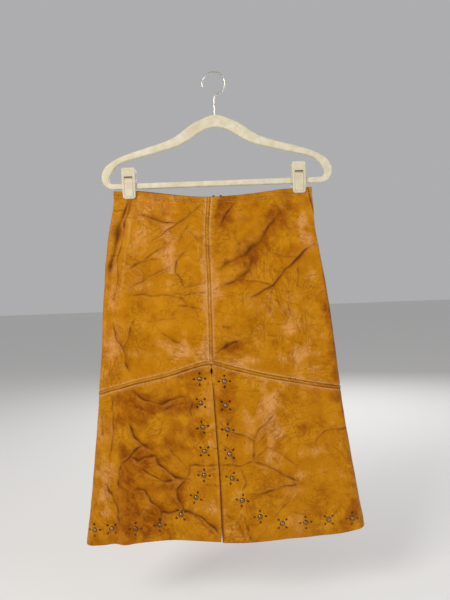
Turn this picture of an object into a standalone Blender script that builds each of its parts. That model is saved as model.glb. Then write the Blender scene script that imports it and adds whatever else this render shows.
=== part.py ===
"""A studded leather midi skirt held by the waist on a clip hanger.

Metres, +Z up, front towards -Y.  The origin is the inside crown of the hanger's hook, and
everything hangs below it.  Left and right are as seen from the front, -X and +X.

The skirt is a soft tube.  A point of it is named by its arc round the tube, measured from
the middle of the front towards the right, and by its height.  skirt_point() gives that point
on the middle of the leather, and leather_point() moves it out or in along the normal.
"""

import math

import bmesh
import bpy
import numpy as np
from mathutils import Matrix, Vector
from mathutils.bvhtree import BVHTree

MM = 0.001

# ---------------------------------------------------------------- driving dimensions
LEATHER = 1.3 * MM  # thickness of the hide
GAP = 0.3 * MM  # clearance between neighbouring pieces
HALF_GAP = GAP / 2

# The tube, row by row: depth below the origin, the middle of the tube across the hanger,
# half its flattened width, how far front and back bow out, the radius of the rolled sides,
# and how far the right side turns towards the back for each millimetre across.
BODY_COLUMNS = ("down", "centre", "half_width", "bow", "roll", "yaw")
BODY = (
    (222, -9.5, 192.5, 8.0, 3.0, 0.000),
    (245, -9.5, 193.0, 9.0, 3.0, 0.000),
    (270, -11.0, 196.0, 10.5, 3.5, 0.000),
    (300, -13.2, 199.6, 13.0, 4.5, 0.002),
    (340, -13.3, 205.2, 16.0, 6.0, 0.004),
    (400, -11.8, 213.2, 19.5, 8.0, 0.006),
    (460, -10.6, 219.8, 22.5, 10.0, 0.008),
    (520, -9.0, 225.0, 25.0, 11.0, 0.012),
    (600, -9.4, 232.5, 27.0, 12.0, 0.018),
    (680, -8.0, 240.3, 28.0, 13.0, 0.026),
    (760, -6.4, 250.5, 29.0, 14.0, 0.034),
    (830, -5.6, 260.0, 30.0, 15.0, 0.040),
    (880, -4.8, 267.5, 30.5, 16.0, 0.044),
    (903, -4.6, 270.5, 30.5, 16.0, 0.046),
)

# Where the seams lie: arcs in millimetres past the middle of the front, the right side, the
# middle of the back and the left side of the tube.  The skirt sits turned on its hanger.
SEAM_COLUMNS = ("down", "front", "right", "back", "left")
SEAMS = (
    (222, -7.5, -9.0, -8.7, -8.0),
    (250, -8.0, -6.0, -8.5, -8.0),
    (290, -9.0, 0.0, -8.0, -8.0),
    (400, -10.0, 2.0, -7.0, -8.0),
    (563, -14.2, 3.0, -5.0, -8.0),
    (680, -13.0, 3.0, -5.0, -8.0),
    (790, -11.0, 3.0, -4.5, -7.0),
    (903, -11.0, 3.0, -4.0, -6.0),
)

# Soft folds of the front and back.  Each row is a ridge (+) or valley (-): its side, its place
# across the skirt at four depths, its height at those depths and its half-width.
FOLD_DEPTHS = (250, 360, 620, 900)
FOLDS = (
    ("front", (-161, -172, -186, -195), (2.0, 4.5, 4.0, 5.0), 15),
    ("front", (-174, -189, -209, -214), (-1.0, -3.5, -4.0, -5.0), 13),
    ("front", (28, 34, 40, 46), (0.0, 1.0, 2.0, 7.0), 62),
    ("front", (-70, -80, -95, -105), (0.0, 0.0, -3.0, -12.0), 60),
    ("front", (150, 156, 170, 186), (1.0, 2.5, 1.0, -3.0), 26),
    ("back", (-120, -128, -140, -152), (0.0, 2.0, 3.0, 7.0), 38),
    ("back", (30, 36, 48, 60), (0.0, 0.0, 2.0, -7.0), 46),
    ("back", (140, 150, 160, 172), (0.5, 2.5, 3.0, 6.0), 30),
)

WAIST_FRONT_DOWN = 242.0  # the waist edge at the middle of the front
WAIST_BACK_DOWN = 240.0
WAIST_RISE_LEFT = 18.5  # from the middle of the front up to the clips
WAIST_RISE_RIGHT = 14.0
WAIST_RISE_REACH = 165.0
WAIST_DIP_ACROSS = 12.0  # how far right of the middle the edge is lowest
HEM_DOWN = 900.0  # at the foot of the slit

# How far the hem edge has risen, in millimetres, at each share of the way to the side seam.
HEM_COLUMNS = ("share", "front_left", "front_right", "back_left", "back_right")
HEM = (
    (0.0, 0.5, -1.0, 1.0, 1.0),
    (0.4, 2.0, -2.0, 0.5, 1.0),
    (0.8, 0.5, -2.0, 1.0, 2.5),
    (1.0, 0.0, 7.0, 0.0, 7.0),
)

# The chevron seam: how far it has dropped from its peak at each distance from the front seam.
PEAK_DOWN = 561.5
YOKE_COLUMNS = ("distance", "drop_left", "drop_right")
YOKE = (
    (0, 0.0, 0.0),
    (14, 1.0, 2.6),
    (30, 4.6, 8.0),
    (46, 9.4, 12.4),
    (92, 22.2, 25.6),
    (118, 27.6, 32.0),
    (150, 34.0, 39.0),
    (182, 42.0, 46.0),
    (214, 50.4, 53.0),
    (262, 59.0, 61.0),
)

# The slit's half-opening below its top: a small eye where it starts, then ever wider.
SLIT_TOP_HALF = 0.4
SLIT_EYE_HALF = 2.0
SLIT_EYE_DOWN = 577.0
SLIT_EYE_REACH = 7.0
SLIT_HEM_HALF = 1.6

WELT_WIDTH = 5.0 * MM
WELT_THICKNESS = 1.0 * MM
WELT_CLEARANCE = 0.7  # between the foot of the centre strip and the chevron strips

STUD_RADIUS = 4.3 * MM
STUD_HEIGHT = 2.6 * MM
STUD_RIM = 0.5 * MM
STUDS_DOWN_FRONT = 11
STUDS_BACK = 12
# Each side's row of studs: side, distance from the slit, depth of the first stud, spacing,
# depth where it turns out to the side, how far across that turn ends, height over the hem.
STUD_ROWS = (
    (-1, 23.1, 591.0, 45.7, 738.0, 137.0, 30.0),
    (1, 23.8, 597.0, 45.7, 761.0, 143.0, 25.5),
)
STUD_SIDE_MARGIN = 30.0  # from a side seam to the last stud of the front's row
BACK_STUD_MARGIN = 14.0  # from a side seam to the first stud of the back's row
BACK_STUDS_OVER_HEM = 28.0

ZIP_LENGTH = 178.0  # from the waist edge down
ZIP_HALF_OPENING = 3.0
ZIP_FADE = 6.0
TAPE_WIDTH = 13.0
TAPE_FROM_CENTRE = 1.5
TAPE_BELOW_WAIST = 1.5
TAPE_PAST_ZIP = 8.0
TAPE_THICKNESS = 1.0 * MM
TAPE_ROWS = 8
PULL_DOWN = 250.5  # the pull tab's hinge, below the origin
PULL_ROD = 0.6 * MM
PULL_OUT = 4.6 * MM  # the hinge's distance outside the leather's middle
SLIDER_HALF_WIDTH = 2.4 * MM
SLIDER_HALF_LENGTH = 5.0 * MM
CROWN_HALF_WIDTH = 1.1 * MM
CROWN_HALF_OPENING = 1.2 * MM
CROWN_BAR = 0.9 * MM
TAB_HALF_WIDTH = 2.9 * MM
TAB_LENGTH = 23.0 * MM
TAB_LEG = 1.2 * MM
TAB_THICKNESS = 1.2 * MM
TAB_WINDOW = 3.6 * MM

EYE_FROM_MIDDLE = 7.0
EYE_RISE = 3.2  # how far hook and eye stand over the back's waist edge
EYE_WIDTH = 3.0
EYE_LENGTH = 13.0
EYE_THICKNESS = 0.9 * MM

CLIP_LEFT_X = -171.3 * MM
CLIP_RIGHT_X = 159.2 * MM
CLIP_GRIP_REACH = 13.6  # either side of a clip's middle, where the leather lies flat
CLIP_GRIP_FADE = 24.0
CLIP_GRIP_DOWN = 244.0
CLIP_GRIP_FADE_DOWN = 96.0
PINCHED_HALF = 1.1  # from the middle plane to the middle of the pinched leather

HANGER_THICKNESS = 7.0 * MM
HANGER_BEVEL = 2.2 * MM
WIRE_RADIUS = 1.8 * MM
HOOK_RADIUS = 22.0 * MM  # to the wire's middle
SOCKET_DEPTH = 13.0 * MM
NECK_TOP = -56.0 * MM  # where the wire starts to bend over to the bowl
HOOK_START = -72.0  # degrees round the bowl, from its right side
HOOK_END = 200.0

# Half of the hanger loop's outer and inner outlines, from the top middle round to the bar, as
# millimetres across and down.
OUTER_OUTLINE = (
    (0, 81.8),
    (11, 83.6),
    (22, 87.8),
    (41, 95.8),
    (53, 103.5),
    (64, 111.5),
    (75, 119.5),
    (90, 127.3),
    (112, 134.8),
    (139, 142.6),
    (167, 150.9),
    (187, 157.8),
    (203, 165.8),
    (215, 174.6),
    (222, 185.0),
    (224.5, 196.0),
    (222.5, 207.0),
    (216, 215.5),
    (206, 220.0),
    (192, 221.0),
)
INNER_OUTLINE = (
    (0, 106.0),
    (10, 107.0),
    (21, 110.5),
    (32, 116.2),
    (43, 123.4),
    (56, 131.6),
    (71, 138.8),
    (88, 144.4),
    (108, 149.6),
    (130, 155.2),
    (153, 160.8),
    (172, 165.6),
    (186, 170.4),
    (197, 178.6),
    (204, 187.6),
    (208.4, 197.0),
    (209.4, 202.6),
    (207.6, 207.2),
    (203, 209.4),
    (190, 209.8),
)

# A clip's jaw seen from the side: its depth below the origin, then how far its inner and outer
# faces stand from the hanger's middle plane, and its half-width there.
JAW_COLUMNS = ("down", "inner", "outer", "half_width")
JAW = (
    (180.4, 7.2, 10.6, 13.2),
    (195.0, 6.0, 10.0, 13.2),
    (204.0, 4.6, 9.4, 13.2),
    (208.5, 3.8, 9.2, 13.2),
    (222.3, 3.8, 8.2, 13.0),
    (227.0, 2.05, 7.4, 12.8),
    (237.0, 2.05, 5.8, 12.2),
    (240.3, 2.05, 4.6, 11.4),
)
SPRING_HALF_WIDTH = 8.0 * MM
SPRING_THICKNESS = 0.8 * MM
SPRING_RISE = 2.0 * MM  # of its bent top over its straight legs

# Cells across a panel, in millimetres from its side seam: fine where the side rolls round.
SIDE_CELLS = (0, 3, 6.5, 10.5, 15, 21, 29, 38, 48, 60, 76, 96, 120, 150, 182, 214, 245, 265)
HIP_ROWS = 12
HEM_ROWS = 13

COLLECTION = "studded_leather_skirt"


# ---------------------------------------------------------------- scene and materials
def clear_scene():
    for item in list(bpy.data.objects):
        bpy.data.objects.remove(item, do_unlink=True)


def new_collection(name):
    made = bpy.data.collections.new(name)
    bpy.context.scene.collection.children.link(made)
    return made


def material(name, colour, roughness, metallic):
    made = bpy.data.materials.new(name)
    made.use_nodes = True
    shader = made.node_tree.nodes["Principled BSDF"]
    shader.inputs["Base Color"].default_value = (*colour, 1.0)
    shader.inputs["Roughness"].default_value = roughness
    shader.inputs["Metallic"].default_value = metallic
    made.diffuse_color = (*colour, 1.0)
    return made


def mesh_object(name, bm, made_of, smooth=True):
    """One sub-part from a bmesh, with its faces turned outwards."""
    bmesh.ops.recalc_face_normals(bm, faces=bm.faces[:])
    mesh = bpy.data.meshes.new(name)
    bm.to_mesh(mesh)
    bm.free()
    if smooth:
        mesh.shade_smooth()
        mesh.set_sharp_from_angle(angle=math.radians(35))
    mesh.materials.append(made_of)
    made = bpy.data.objects.new(name, mesh)
    bpy.data.collections[COLLECTION].objects.link(made)
    return made


# ---------------------------------------------------------------- the skirt as a surface
def columns_of(names, rows):
    """A table as one array for each named column."""
    return {name: np.array([row[place] for row in rows], float) for place, name in enumerate(names)}


BODY_AT = columns_of(BODY_COLUMNS, BODY)
SEAM_AT = columns_of(SEAM_COLUMNS, SEAMS)
HEM_AT = columns_of(HEM_COLUMNS, HEM)
YOKE_AT = columns_of(YOKE_COLUMNS, YOKE)
JAW_AT = columns_of(JAW_COLUMNS, JAW)


def smooth(value, keys, values):
    """A smooth curve through a table's values, level beyond its ends."""
    slopes = np.gradient(values, keys)
    x = np.clip(value, keys[0], keys[-1])
    i = np.clip(np.searchsorted(keys, x, side="right") - 1, 0, len(keys) - 2)
    step = keys[i + 1] - keys[i]
    t = (x - keys[i]) / step
    start = (2 * t**3 - 3 * t**2 + 1) * values[i] + (t**3 - 2 * t**2 + t) * step * slopes[i]
    end = (3 * t**2 - 2 * t**3) * values[i + 1] + (t**3 - t**2) * step * slopes[i + 1]
    return start + end


def body(name, down):
    return smooth(down, BODY_AT["down"], BODY_AT[name])


def seam(name, down):
    """Arc from the middle of the front to a seam, in millimetres, going right."""
    offset = smooth(down, SEAM_AT["down"], SEAM_AT[name])
    quarters = {"front": 0, "right": 1, "back": 2, "left": -1}
    return offset + quarters[name] * quarter_arc(down)


def quarter_arc(down):
    roll = body("roll", down)
    return body("half_width", down) - roll + math.pi / 2 * roll


def ease(value):
    """0 to 1 with level ends."""
    t = np.clip(value, 0.0, 1.0)
    return t * t * (3 - 2 * t)


def grip(across, down):
    """How firmly a clip pinches the leather at a point, 0 to 1."""
    most = 0.0
    for clip in (CLIP_LEFT_X / MM, CLIP_RIGHT_X / MM):
        aside = np.abs(across + body("centre", down) - clip)
        near = 1 - ease((aside - CLIP_GRIP_REACH) / CLIP_GRIP_FADE)
        most = np.maximum(most, near)
    return most * (1 - ease((down - CLIP_GRIP_DOWN) / CLIP_GRIP_FADE_DOWN))


def folds(side, across, down):
    """How far the folds push one side out, in millimetres."""
    total = 0.0
    depths = np.array(FOLD_DEPTHS, float)
    for fold_side, places, heights, half_width in FOLDS:
        if fold_side != side:
            continue
        middle = smooth(down, depths, np.array(places, float))
        height = smooth(down, depths, np.array(heights, float))
        total = total + height * np.exp(-(((across - middle) / half_width) ** 2))
    return total


def skirt_point(arc, down):
    """The middle of the leather, in metres, at an arc and a depth in millimetres."""
    quarter = quarter_arc(down)
    turn = np.mod(arc + 2 * quarter, 4 * quarter) - 2 * quarter
    on_back = np.abs(turn) > quarter
    along = np.where(on_back, 2 * quarter - np.abs(turn), np.abs(turn))
    sign = np.where(turn < 0, -1.0, 1.0)
    roll = body("roll", down)
    straight = body("half_width", down) - roll
    angle = np.clip((along - straight) / roll, 0.0, math.pi / 2)
    across = np.minimum(along, straight) + roll * np.sin(angle)
    cap = np.cos(angle)
    flat = np.clip(along / straight, 0.0, 1.0)
    bow = (body("bow", down) - roll) * (1 - flat**2) ** 1.3
    x = sign * across
    held = grip(x, down)
    pushed = np.where(on_back, folds("back", x, down), folds("front", x, down))
    out = (roll * cap + bow + pushed * cap) * (1 - held) + PINCHED_HALF * cap**0.6 * held
    y = np.where(on_back, out, -out) + body("yaw", down) * x
    return np.stack((x + body("centre", down), y, -down + 0 * x), axis=-1) * MM


def leather_point(arc, down, out):
    """Points of the skirt moved out of the leather's middle by `out` metres."""
    step = 1.0
    point = skirt_point(arc, down)
    along = skirt_point(arc + step, down) - skirt_point(arc - step, down)
    fall = skirt_point(arc, down + step) - skirt_point(arc, down - step)
    normal = np.cross(fall, along)
    length = np.linalg.norm(normal, axis=-1, keepdims=True)
    return point + normal / length * np.asarray(out)[..., None]


def waist(arc):
    """Depth of the waist edge at an arc."""
    quarter = quarter_arc(WAIST_FRONT_DOWN)
    on_back = np.abs(arc) > quarter
    across = np.where(on_back, np.sign(arc) * (2 * quarter - np.abs(arc)), arc)
    middle = np.where(on_back, WAIST_BACK_DOWN, WAIST_FRONT_DOWN)
    reach = np.minimum(np.abs(across - WAIST_DIP_ACROSS) / WAIST_RISE_REACH, 1.0)
    front_rise = np.where(across < WAIST_DIP_ACROSS, WAIST_RISE_LEFT, WAIST_RISE_RIGHT)
    rise = front_rise - (WAIST_FRONT_DOWN - middle)
    return middle - rise * reach**2 * (1.5 - 0.5 * reach**2)


def yoke(side, distance):
    """Depth of the chevron seam at a distance from the front seam."""
    drops = YOKE_AT["drop_left" if side < 0 else "drop_right"]
    return PEAK_DOWN + smooth(distance, YOKE_AT["distance"], drops)


def slit_half(down):
    """Half the slit's opening at a depth, in millimetres."""
    eye = SLIT_EYE_HALF * np.exp(-(((down - SLIT_EYE_DOWN) / SLIT_EYE_REACH) ** 2))
    fall = np.clip((down - PEAK_DOWN) / (HEM_DOWN - PEAK_DOWN), 0.0, 1.0)
    return SLIT_TOP_HALF + eye + (SLIT_HEM_HALF - SLIT_TOP_HALF) * fall**2


def zip_half(down):
    """Half the distance between the back panels: open along the zip, closed below it."""
    share = 1 - ease((down - WAIST_BACK_DOWN - ZIP_LENGTH) / ZIP_FADE)
    return HALF_GAP / MM + (ZIP_HALF_OPENING - HALF_GAP / MM) * share


# ---------------------------------------------------------------- panels and strips
def side_stops():
    """Fractions across a panel from its middle seam (0) to its side seam (1)."""
    width = SIDE_CELLS[-1]
    return [1 - cell / width for cell in reversed(SIDE_CELLS)]


def shell(name, columns, rows, place, made_of):
    """A closed wall from place(across, along, face), whose face 0 is the inner side, 1 the outer."""
    bm = bmesh.new()
    across, along = len(columns) - 1, len(rows) - 1
    bmesh.ops.create_grid(bm, x_segments=across, y_segments=along, size=0.5)
    for vertex in bm.verts:
        vertex.co.x = round((vertex.co.x + 0.5) * across)
        vertex.co.y = round((vertex.co.y + 0.5) * along)
    sheet = bm.verts[:] + bm.edges[:] + bm.faces[:]
    raised = bmesh.ops.extrude_face_region(bm, geom=sheet, use_keep_orig=True)
    for item in raised["geom"]:
        if isinstance(item, bmesh.types.BMVert):
            item.co.z = 1.0
    cells = np.array([[round(number) for number in vertex.co] for vertex in bm.verts])
    points = place(np.array(columns, float)[cells[:, 0]], np.array(rows, float)[cells[:, 1]], cells[:, 2])
    for vertex, point in zip(bm.verts, points):
        vertex.co = point
    return mesh_object(name, bm, made_of)


def hem(panel, across):
    """Depth of the hem edge at a share of the way from a panel's middle seam to its side seam."""
    return HEM_DOWN - smooth(across, HEM_AT["share"], HEM_AT[panel])


def between(top, seam_down, foot, row):
    """Depth of a row: 0 to 1 runs from the waist to the chevron's depth, 1 to 2 on to the hem."""
    above = top + (seam_down - top) * np.minimum(row, 1.0)
    return above + (foot - seam_down) * np.maximum(row - 1, 0.0)


def level(side, across, row):
    """Depth of a row of cells at a fraction across one side, middle seam 0 to side seam 1."""
    top = waist(side * across * quarter_arc(WAIST_FRONT_DOWN))
    foot = hem("front_left" if side < 0 else "front_right", across)
    return between(top, yoke(side, across * quarter_arc(PEAK_DOWN)), foot, row)


def back_level(side, across, row):
    """The same for the back, whose rows meet the front's at the side seams."""
    top = waist(side * (2 - across) * quarter_arc(WAIST_FRONT_DOWN))
    foot = hem("back_left" if side < 0 else "back_right", across)
    reach = quarter_arc(PEAK_DOWN)
    middle = (yoke(-1, reach) + yoke(1, reach)) / 2
    return between(top, middle + (yoke(side, reach) - middle) * across, foot, row)


def front_arc(side, across, down, middle_gap):
    """Arc of a fraction across one front side, kept off both its seams."""
    middle = seam("front", down) + side * middle_gap
    edge = seam("right" if side > 0 else "left", down) - side * HALF_GAP / MM
    return middle + (edge - middle) * across


def back_arc(side, across, down, middle_gap):
    middle = seam("back", down)
    if side < 0:
        middle = middle - 4 * quarter_arc(down)
    middle = middle - side * middle_gap
    edge = seam("right" if side > 0 else "left", down) + side * HALF_GAP / MM
    return middle + (edge - middle) * across


def front_panel(name, side, first_row, last_row, rows, made_of):
    lower = first_row >= 1
    seam_gap = HALF_GAP / MM if lower else -HALF_GAP / MM

    def place(across, row, face):
        down = level(side, across, row) + np.where(row == 1, seam_gap, 0.0)
        middle_gap = slit_half(level(side, 0.0, row)) if lower else HALF_GAP / MM
        arc = front_arc(side, across, down, middle_gap)
        return leather_point(arc, down, (face - 0.5) * LEATHER)

    stops = [first_row + (last_row - first_row) * k / rows for k in range(rows + 1)]
    return shell(name, side_stops(), stops, place, made_of)


def back_panel(name, side, made_of):
    def place(across, row, face):
        down = back_level(side, across, row)
        arc = back_arc(side, across, down, zip_half(back_level(side, 0.0, row)))
        return leather_point(arc, down, (face - 0.5) * LEATHER)

    stops = [k / HIP_ROWS for k in range(HIP_ROWS)]
    stops += [1 + k / HEM_ROWS for k in range(HEM_ROWS + 1)]
    return shell(name, side_stops(), stops, place, made_of)


def on_leather(face, thickness):
    """Height over the leather's middle of a strip's underside (0) or top (1)."""
    return LEATHER / 2 + GAP + face * thickness


def front_welt(made_of):
    half = WELT_WIDTH / MM / 2

    def place(aside, row, face):
        down = level(1, 0.0 * row, row)
        down = down - np.where(row == 1, half + WELT_CLEARANCE, 0.0)
        arc = seam("front", down) + aside * half
        return leather_point(arc, down, on_leather(face, WELT_THICKNESS))

    stops = [k / HIP_ROWS for k in range(HIP_ROWS + 1)]
    return shell("welt_front_centre", (-1, 0, 1), stops, place, made_of)


def yoke_welt(name, side, made_of):
    half = WELT_WIDTH / MM / 2

    def place(across, aside, face):
        down = level(side, across, 1) + aside * half
        arc = front_arc(side, across, down, HALF_GAP / MM)
        return leather_point(arc, down, on_leather(face, WELT_THICKNESS))

    return shell(name, side_stops(), (-1, 0, 1), place, made_of)


# ---------------------------------------------------------------- studs
def stud_mesh(made_of):
    """A domed head on a low rim, turned round its own axis."""
    bm = bmesh.new()
    bmesh.ops.create_cone(
        bm,
        cap_ends=True,
        segments=10,
        radius1=STUD_RADIUS,
        radius2=STUD_RADIUS,
        depth=STUD_RIM,
        matrix=Matrix.Translation((0, 0, STUD_RIM / 2)),
    )
    top = max(bm.faces, key=lambda face: face.calc_center_median().z)
    for share, height in ((0.82, 0.55), (0.45, 0.9), (0.12, 1.0)):
        raised = bmesh.ops.extrude_face_region(bm, geom=[top])
        ring = [item for item in raised["geom"] if isinstance(item, bmesh.types.BMVert)]
        old = top
        top = next(item for item in raised["geom"] if isinstance(item, bmesh.types.BMFace))
        if old.is_valid:
            bmesh.ops.delete(bm, geom=[old], context="FACES_ONLY")
        for vertex in ring:
            flat = vertex.co.xy.normalized() * STUD_RADIUS * share
            vertex.co = (flat.x, flat.y, STUD_RIM + (STUD_HEIGHT - STUD_RIM) * height)
    bmesh.ops.recalc_face_normals(bm, faces=bm.faces[:])
    mesh = bpy.data.meshes.new("stud")
    bm.to_mesh(mesh)
    bm.free()
    mesh.shade_smooth()
    mesh.materials.append(made_of)
    return mesh


def seat(panels, arc, down):
    """Place of a stud's base on the panels' outer faces, clear of them all round."""
    target = Vector(skirt_point(arc, down))
    outward = (Vector(leather_point(arc, down, MM)) - target).normalized()
    side_way = Vector((0, 0, 1)).cross(outward).normalized()
    up_way = outward.cross(side_way)
    lowest = 0.0
    reach = 30 * MM
    for turn in range(9):
        aside = Vector((0, 0, 0))
        if turn < 8:
            angle = turn * math.pi / 4
            aside = (side_way * math.cos(angle) + up_way * math.sin(angle)) * STUD_RADIUS
        start = target + aside + outward * reach
        for tree in panels:
            hit, _, _, distance = tree.ray_cast(start, -outward, 2 * reach)
            if hit is not None:
                lowest = max(lowest, reach - distance)
    base = target + outward * (lowest + GAP)
    return Matrix.Translation(base) @ Matrix((side_way, up_way, outward)).transposed().to_4x4()


def place_stud(name, mesh, panels, arc, down):
    made = bpy.data.objects.new(name, mesh)
    made.matrix_world = seat(panels, arc, down)
    bpy.data.collections[COLLECTION].objects.link(made)


def stud_path(from_slit, first_down, turn_down, turn_across, over_hem):
    """Points (distance from the slit, depth) down the slit, round the corner and along the hem."""
    hem_row = HEM_DOWN - over_hem
    points = [(from_slit, first_down), (from_slit, turn_down)]
    for step in range(1, 13):
        angle = math.pi / 2 * step / 12
        across = turn_across - (turn_across - from_slit) * math.cos(angle)
        points.append((across, turn_down + (hem_row - turn_down) * math.sin(angle)))
    points.append((turn_across + 200, hem_row))
    return np.array(points)


def front_studs(mesh, panels):
    for side, from_slit, first_down, spacing, turn_down, turn_across, over_hem in STUD_ROWS:
        path = stud_path(from_slit, first_down, turn_down, turn_across, over_hem)
        lengths = np.concatenate([[0], np.cumsum(np.hypot(*np.diff(path, axis=0).T))])
        word = "left" if side < 0 else "right"
        for number in range(STUDS_DOWN_FRONT):
            across = np.interp(number * spacing, lengths, path[:, 0])
            down = np.interp(number * spacing, lengths, path[:, 1])
            side_seam = seam("right" if side > 0 else "left", down)
            most = abs(side_seam - seam("front", down)) - STUD_SIDE_MARGIN
            arc = seam("front", down) + side * min(across, most)
            place_stud(f"stud_front_{word}_{number + 1}", mesh, panels, arc, down)


def back_studs(mesh, panels):
    down = HEM_DOWN - BACK_STUDS_OVER_HEM
    first = seam("right", down) + BACK_STUD_MARGIN
    last = seam("left", down) + 4 * quarter_arc(down) - BACK_STUD_MARGIN
    for number in range(STUDS_BACK):
        arc = first + (last - first) * number / (STUDS_BACK - 1)
        place_stud(f"stud_back_{number + 1}", mesh, panels, arc, down)


# ---------------------------------------------------------------- zip and waist fastening
def zip_tape(name, side, made_of):
    """The tape under one back panel, with the side that the teeth sit on at the middle."""

    def place(aside, along, face):
        down = WAIST_BACK_DOWN + TAPE_BELOW_WAIST + (ZIP_LENGTH + TAPE_PAST_ZIP) * along
        away = TAPE_FROM_CENTRE + TAPE_WIDTH * aside
        arc = seam("back", down) - side * away
        inward = LEATHER / 2 + GAP + (1 - face) * TAPE_THICKNESS
        return leather_point(arc, down, -inward)

    stops = [k / TAPE_ROWS for k in range(TAPE_ROWS + 1)]
    return shell(name, (0, 0.5, 1), stops, place, made_of)


def box_between(bm, low, high):
    """A box from its low corner to its high corner."""
    size = Vector(high) - Vector(low)
    middle = (Vector(high) + Vector(low)) / 2
    matrix = Matrix.Translation(middle) @ Matrix.Diagonal((*size, 1.0))
    bmesh.ops.create_cube(bm, size=1.0, matrix=matrix)


def pull_hinge():
    """Where the pull tab turns, on the slider at the top of the zip."""
    point = leather_point(seam("back", PULL_DOWN), PULL_DOWN, 0.0)
    return Vector(point) + Vector((0, PULL_OUT, 0))


def union_of(name, boxes, made_of):
    """One solid from overlapping boxes, each given by its low and high corners."""
    parts = []
    for number, (low, high) in enumerate(boxes):
        bm = bmesh.new()
        box_between(bm, low, high)
        parts.append(mesh_object(f"{name}_join_{number}" if number else name, bm, made_of, False))
    for part in parts[1:]:
        hide_helper(part)
        add_boolean(parts[0], part, "UNION")
    return parts[0]


def hide_helper(helper):
    for held_in in list(helper.users_collection):
        held_in.objects.unlink(helper)
    bpy.data.collections["cutters"].objects.link(helper)
    helper.hide_render = True
    helper.display_type = "WIRE"


def add_boolean(target, other, operation):
    cut = target.modifiers.new(other.name, "BOOLEAN")
    cut.operation = operation
    cut.solver = "EXACT"
    cut.object = other


def zip_slider(made_of):
    """The slider's body in the opening, with the small crown that the tab hangs from."""
    hinge = pull_hinge()
    inner = -PULL_OUT - LEATHER / 2
    floor = -CROWN_HALF_OPENING
    roof = CROWN_HALF_OPENING + CROWN_BAR
    boxes = (
        (
            (-SLIDER_HALF_WIDTH, inner, -SLIDER_HALF_LENGTH),
            (SLIDER_HALF_WIDTH, floor, SLIDER_HALF_LENGTH),
        ),
        ((-CROWN_HALF_WIDTH, floor - CROWN_BAR, -roof), (CROWN_HALF_WIDTH, roof, floor)),
        ((-CROWN_HALF_WIDTH, floor - CROWN_BAR, -floor), (CROWN_HALF_WIDTH, roof, roof)),
        ((-CROWN_HALF_WIDTH, roof - CROWN_BAR, -roof), (CROWN_HALF_WIDTH, roof, roof)),
    )
    placed = [(hinge + Vector(low), hinge + Vector(high)) for low, high in boxes]
    return union_of("zip_slider", placed, made_of)


def zip_pull(made_of):
    """The pull tab: a flat bar with a window whose top side is the rod it turns on."""
    bm = bmesh.new()
    half = TAB_THICKNESS / 2
    box_between(bm, (-TAB_HALF_WIDTH, -half, -TAB_LENGTH), (TAB_HALF_WIDTH, half, PULL_ROD))
    tab = mesh_object("zip_pull", bm, made_of, False)
    window = bmesh.new()
    box_between(
        window,
        (-TAB_HALF_WIDTH + TAB_LEG, -4 * half, -PULL_ROD - TAB_WINDOW),
        (TAB_HALF_WIDTH - TAB_LEG, 4 * half, -PULL_ROD),
    )
    cutter = mesh_object("zip_pull_window", window, made_of, False)
    cutter.parent = tab
    hide_helper(cutter)
    add_boolean(tab, cutter, "DIFFERENCE")
    tab.location = pull_hinge()
    return tab


def waist_fastening(name, side, made_of):
    """A small flat metal loop sewn inside the back waist, its head over the edge."""

    def place(aside, along, face):
        down = WAIST_BACK_DOWN - EYE_RISE + EYE_LENGTH * along
        arc = seam("back", down) - side * (EYE_FROM_MIDDLE + EYE_WIDTH * aside)
        inward = LEATHER / 2 + 2 * GAP + TAPE_THICKNESS + (1 - face) * EYE_THICKNESS
        return leather_point(arc, down, -inward)

    return shell(name, (-0.5, 0.5), (0, 0.5, 1), place, made_of)


# ---------------------------------------------------------------- hanger
def outline(points):
    """A half outline and its mirror image as one loop."""
    half = [Vector((across * MM, 0, -down * MM)) for across, down in points]
    return half + [Vector((-point.x, 0, point.z)) for point in reversed(half[1:])]


def hanger_frame(made_of):
    """The moulded loop and its bar, with rounded edges and a socket for the hook."""
    bm = bmesh.new()
    loops = []
    for points in (OUTER_OUTLINE, INNER_OUTLINE):
        verts = [bm.verts.new(point) for point in outline(points)]
        loops.append([bm.edges.new((a, b)) for a, b in zip(verts, verts[1:] + verts[:1])])
    bmesh.ops.bridge_loops(bm, edges=loops[0] + loops[1])
    back = bmesh.ops.extrude_face_region(bm, geom=bm.faces[:], use_keep_orig=True)
    for item in back["geom"]:
        if isinstance(item, bmesh.types.BMVert):
            item.co.y = HANGER_THICKNESS
    bmesh.ops.translate(bm, verts=bm.verts[:], vec=(0, -HANGER_THICKNESS / 2, 0))
    bmesh.ops.recalc_face_normals(bm, faces=bm.faces[:])
    rims = [edge for edge in bm.edges if edge.calc_face_angle(0) > math.radians(60)]
    bmesh.ops.bevel(
        bm,
        geom=rims,
        offset=HANGER_BEVEL,
        offset_type="OFFSET",
        segments=2,
        profile=0.5,
        affect="EDGES",
        material=-1,
        clamp_overlap=True,
    )
    frame = mesh_object("hanger_frame", bm, made_of)
    socket = bmesh.new()
    top = -OUTER_OUTLINE[0][1] * MM
    bmesh.ops.create_cone(
        socket,
        cap_ends=True,
        segments=16,
        radius1=WIRE_RADIUS + GAP,
        radius2=WIRE_RADIUS + GAP,
        depth=2 * SOCKET_DEPTH,
        matrix=Matrix.Translation((0, 0, top)),
    )
    cutter = mesh_object("hook_socket", socket, made_of)
    hide_helper(cutter)
    add_boolean(frame, cutter, "DIFFERENCE")
    return frame


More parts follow.
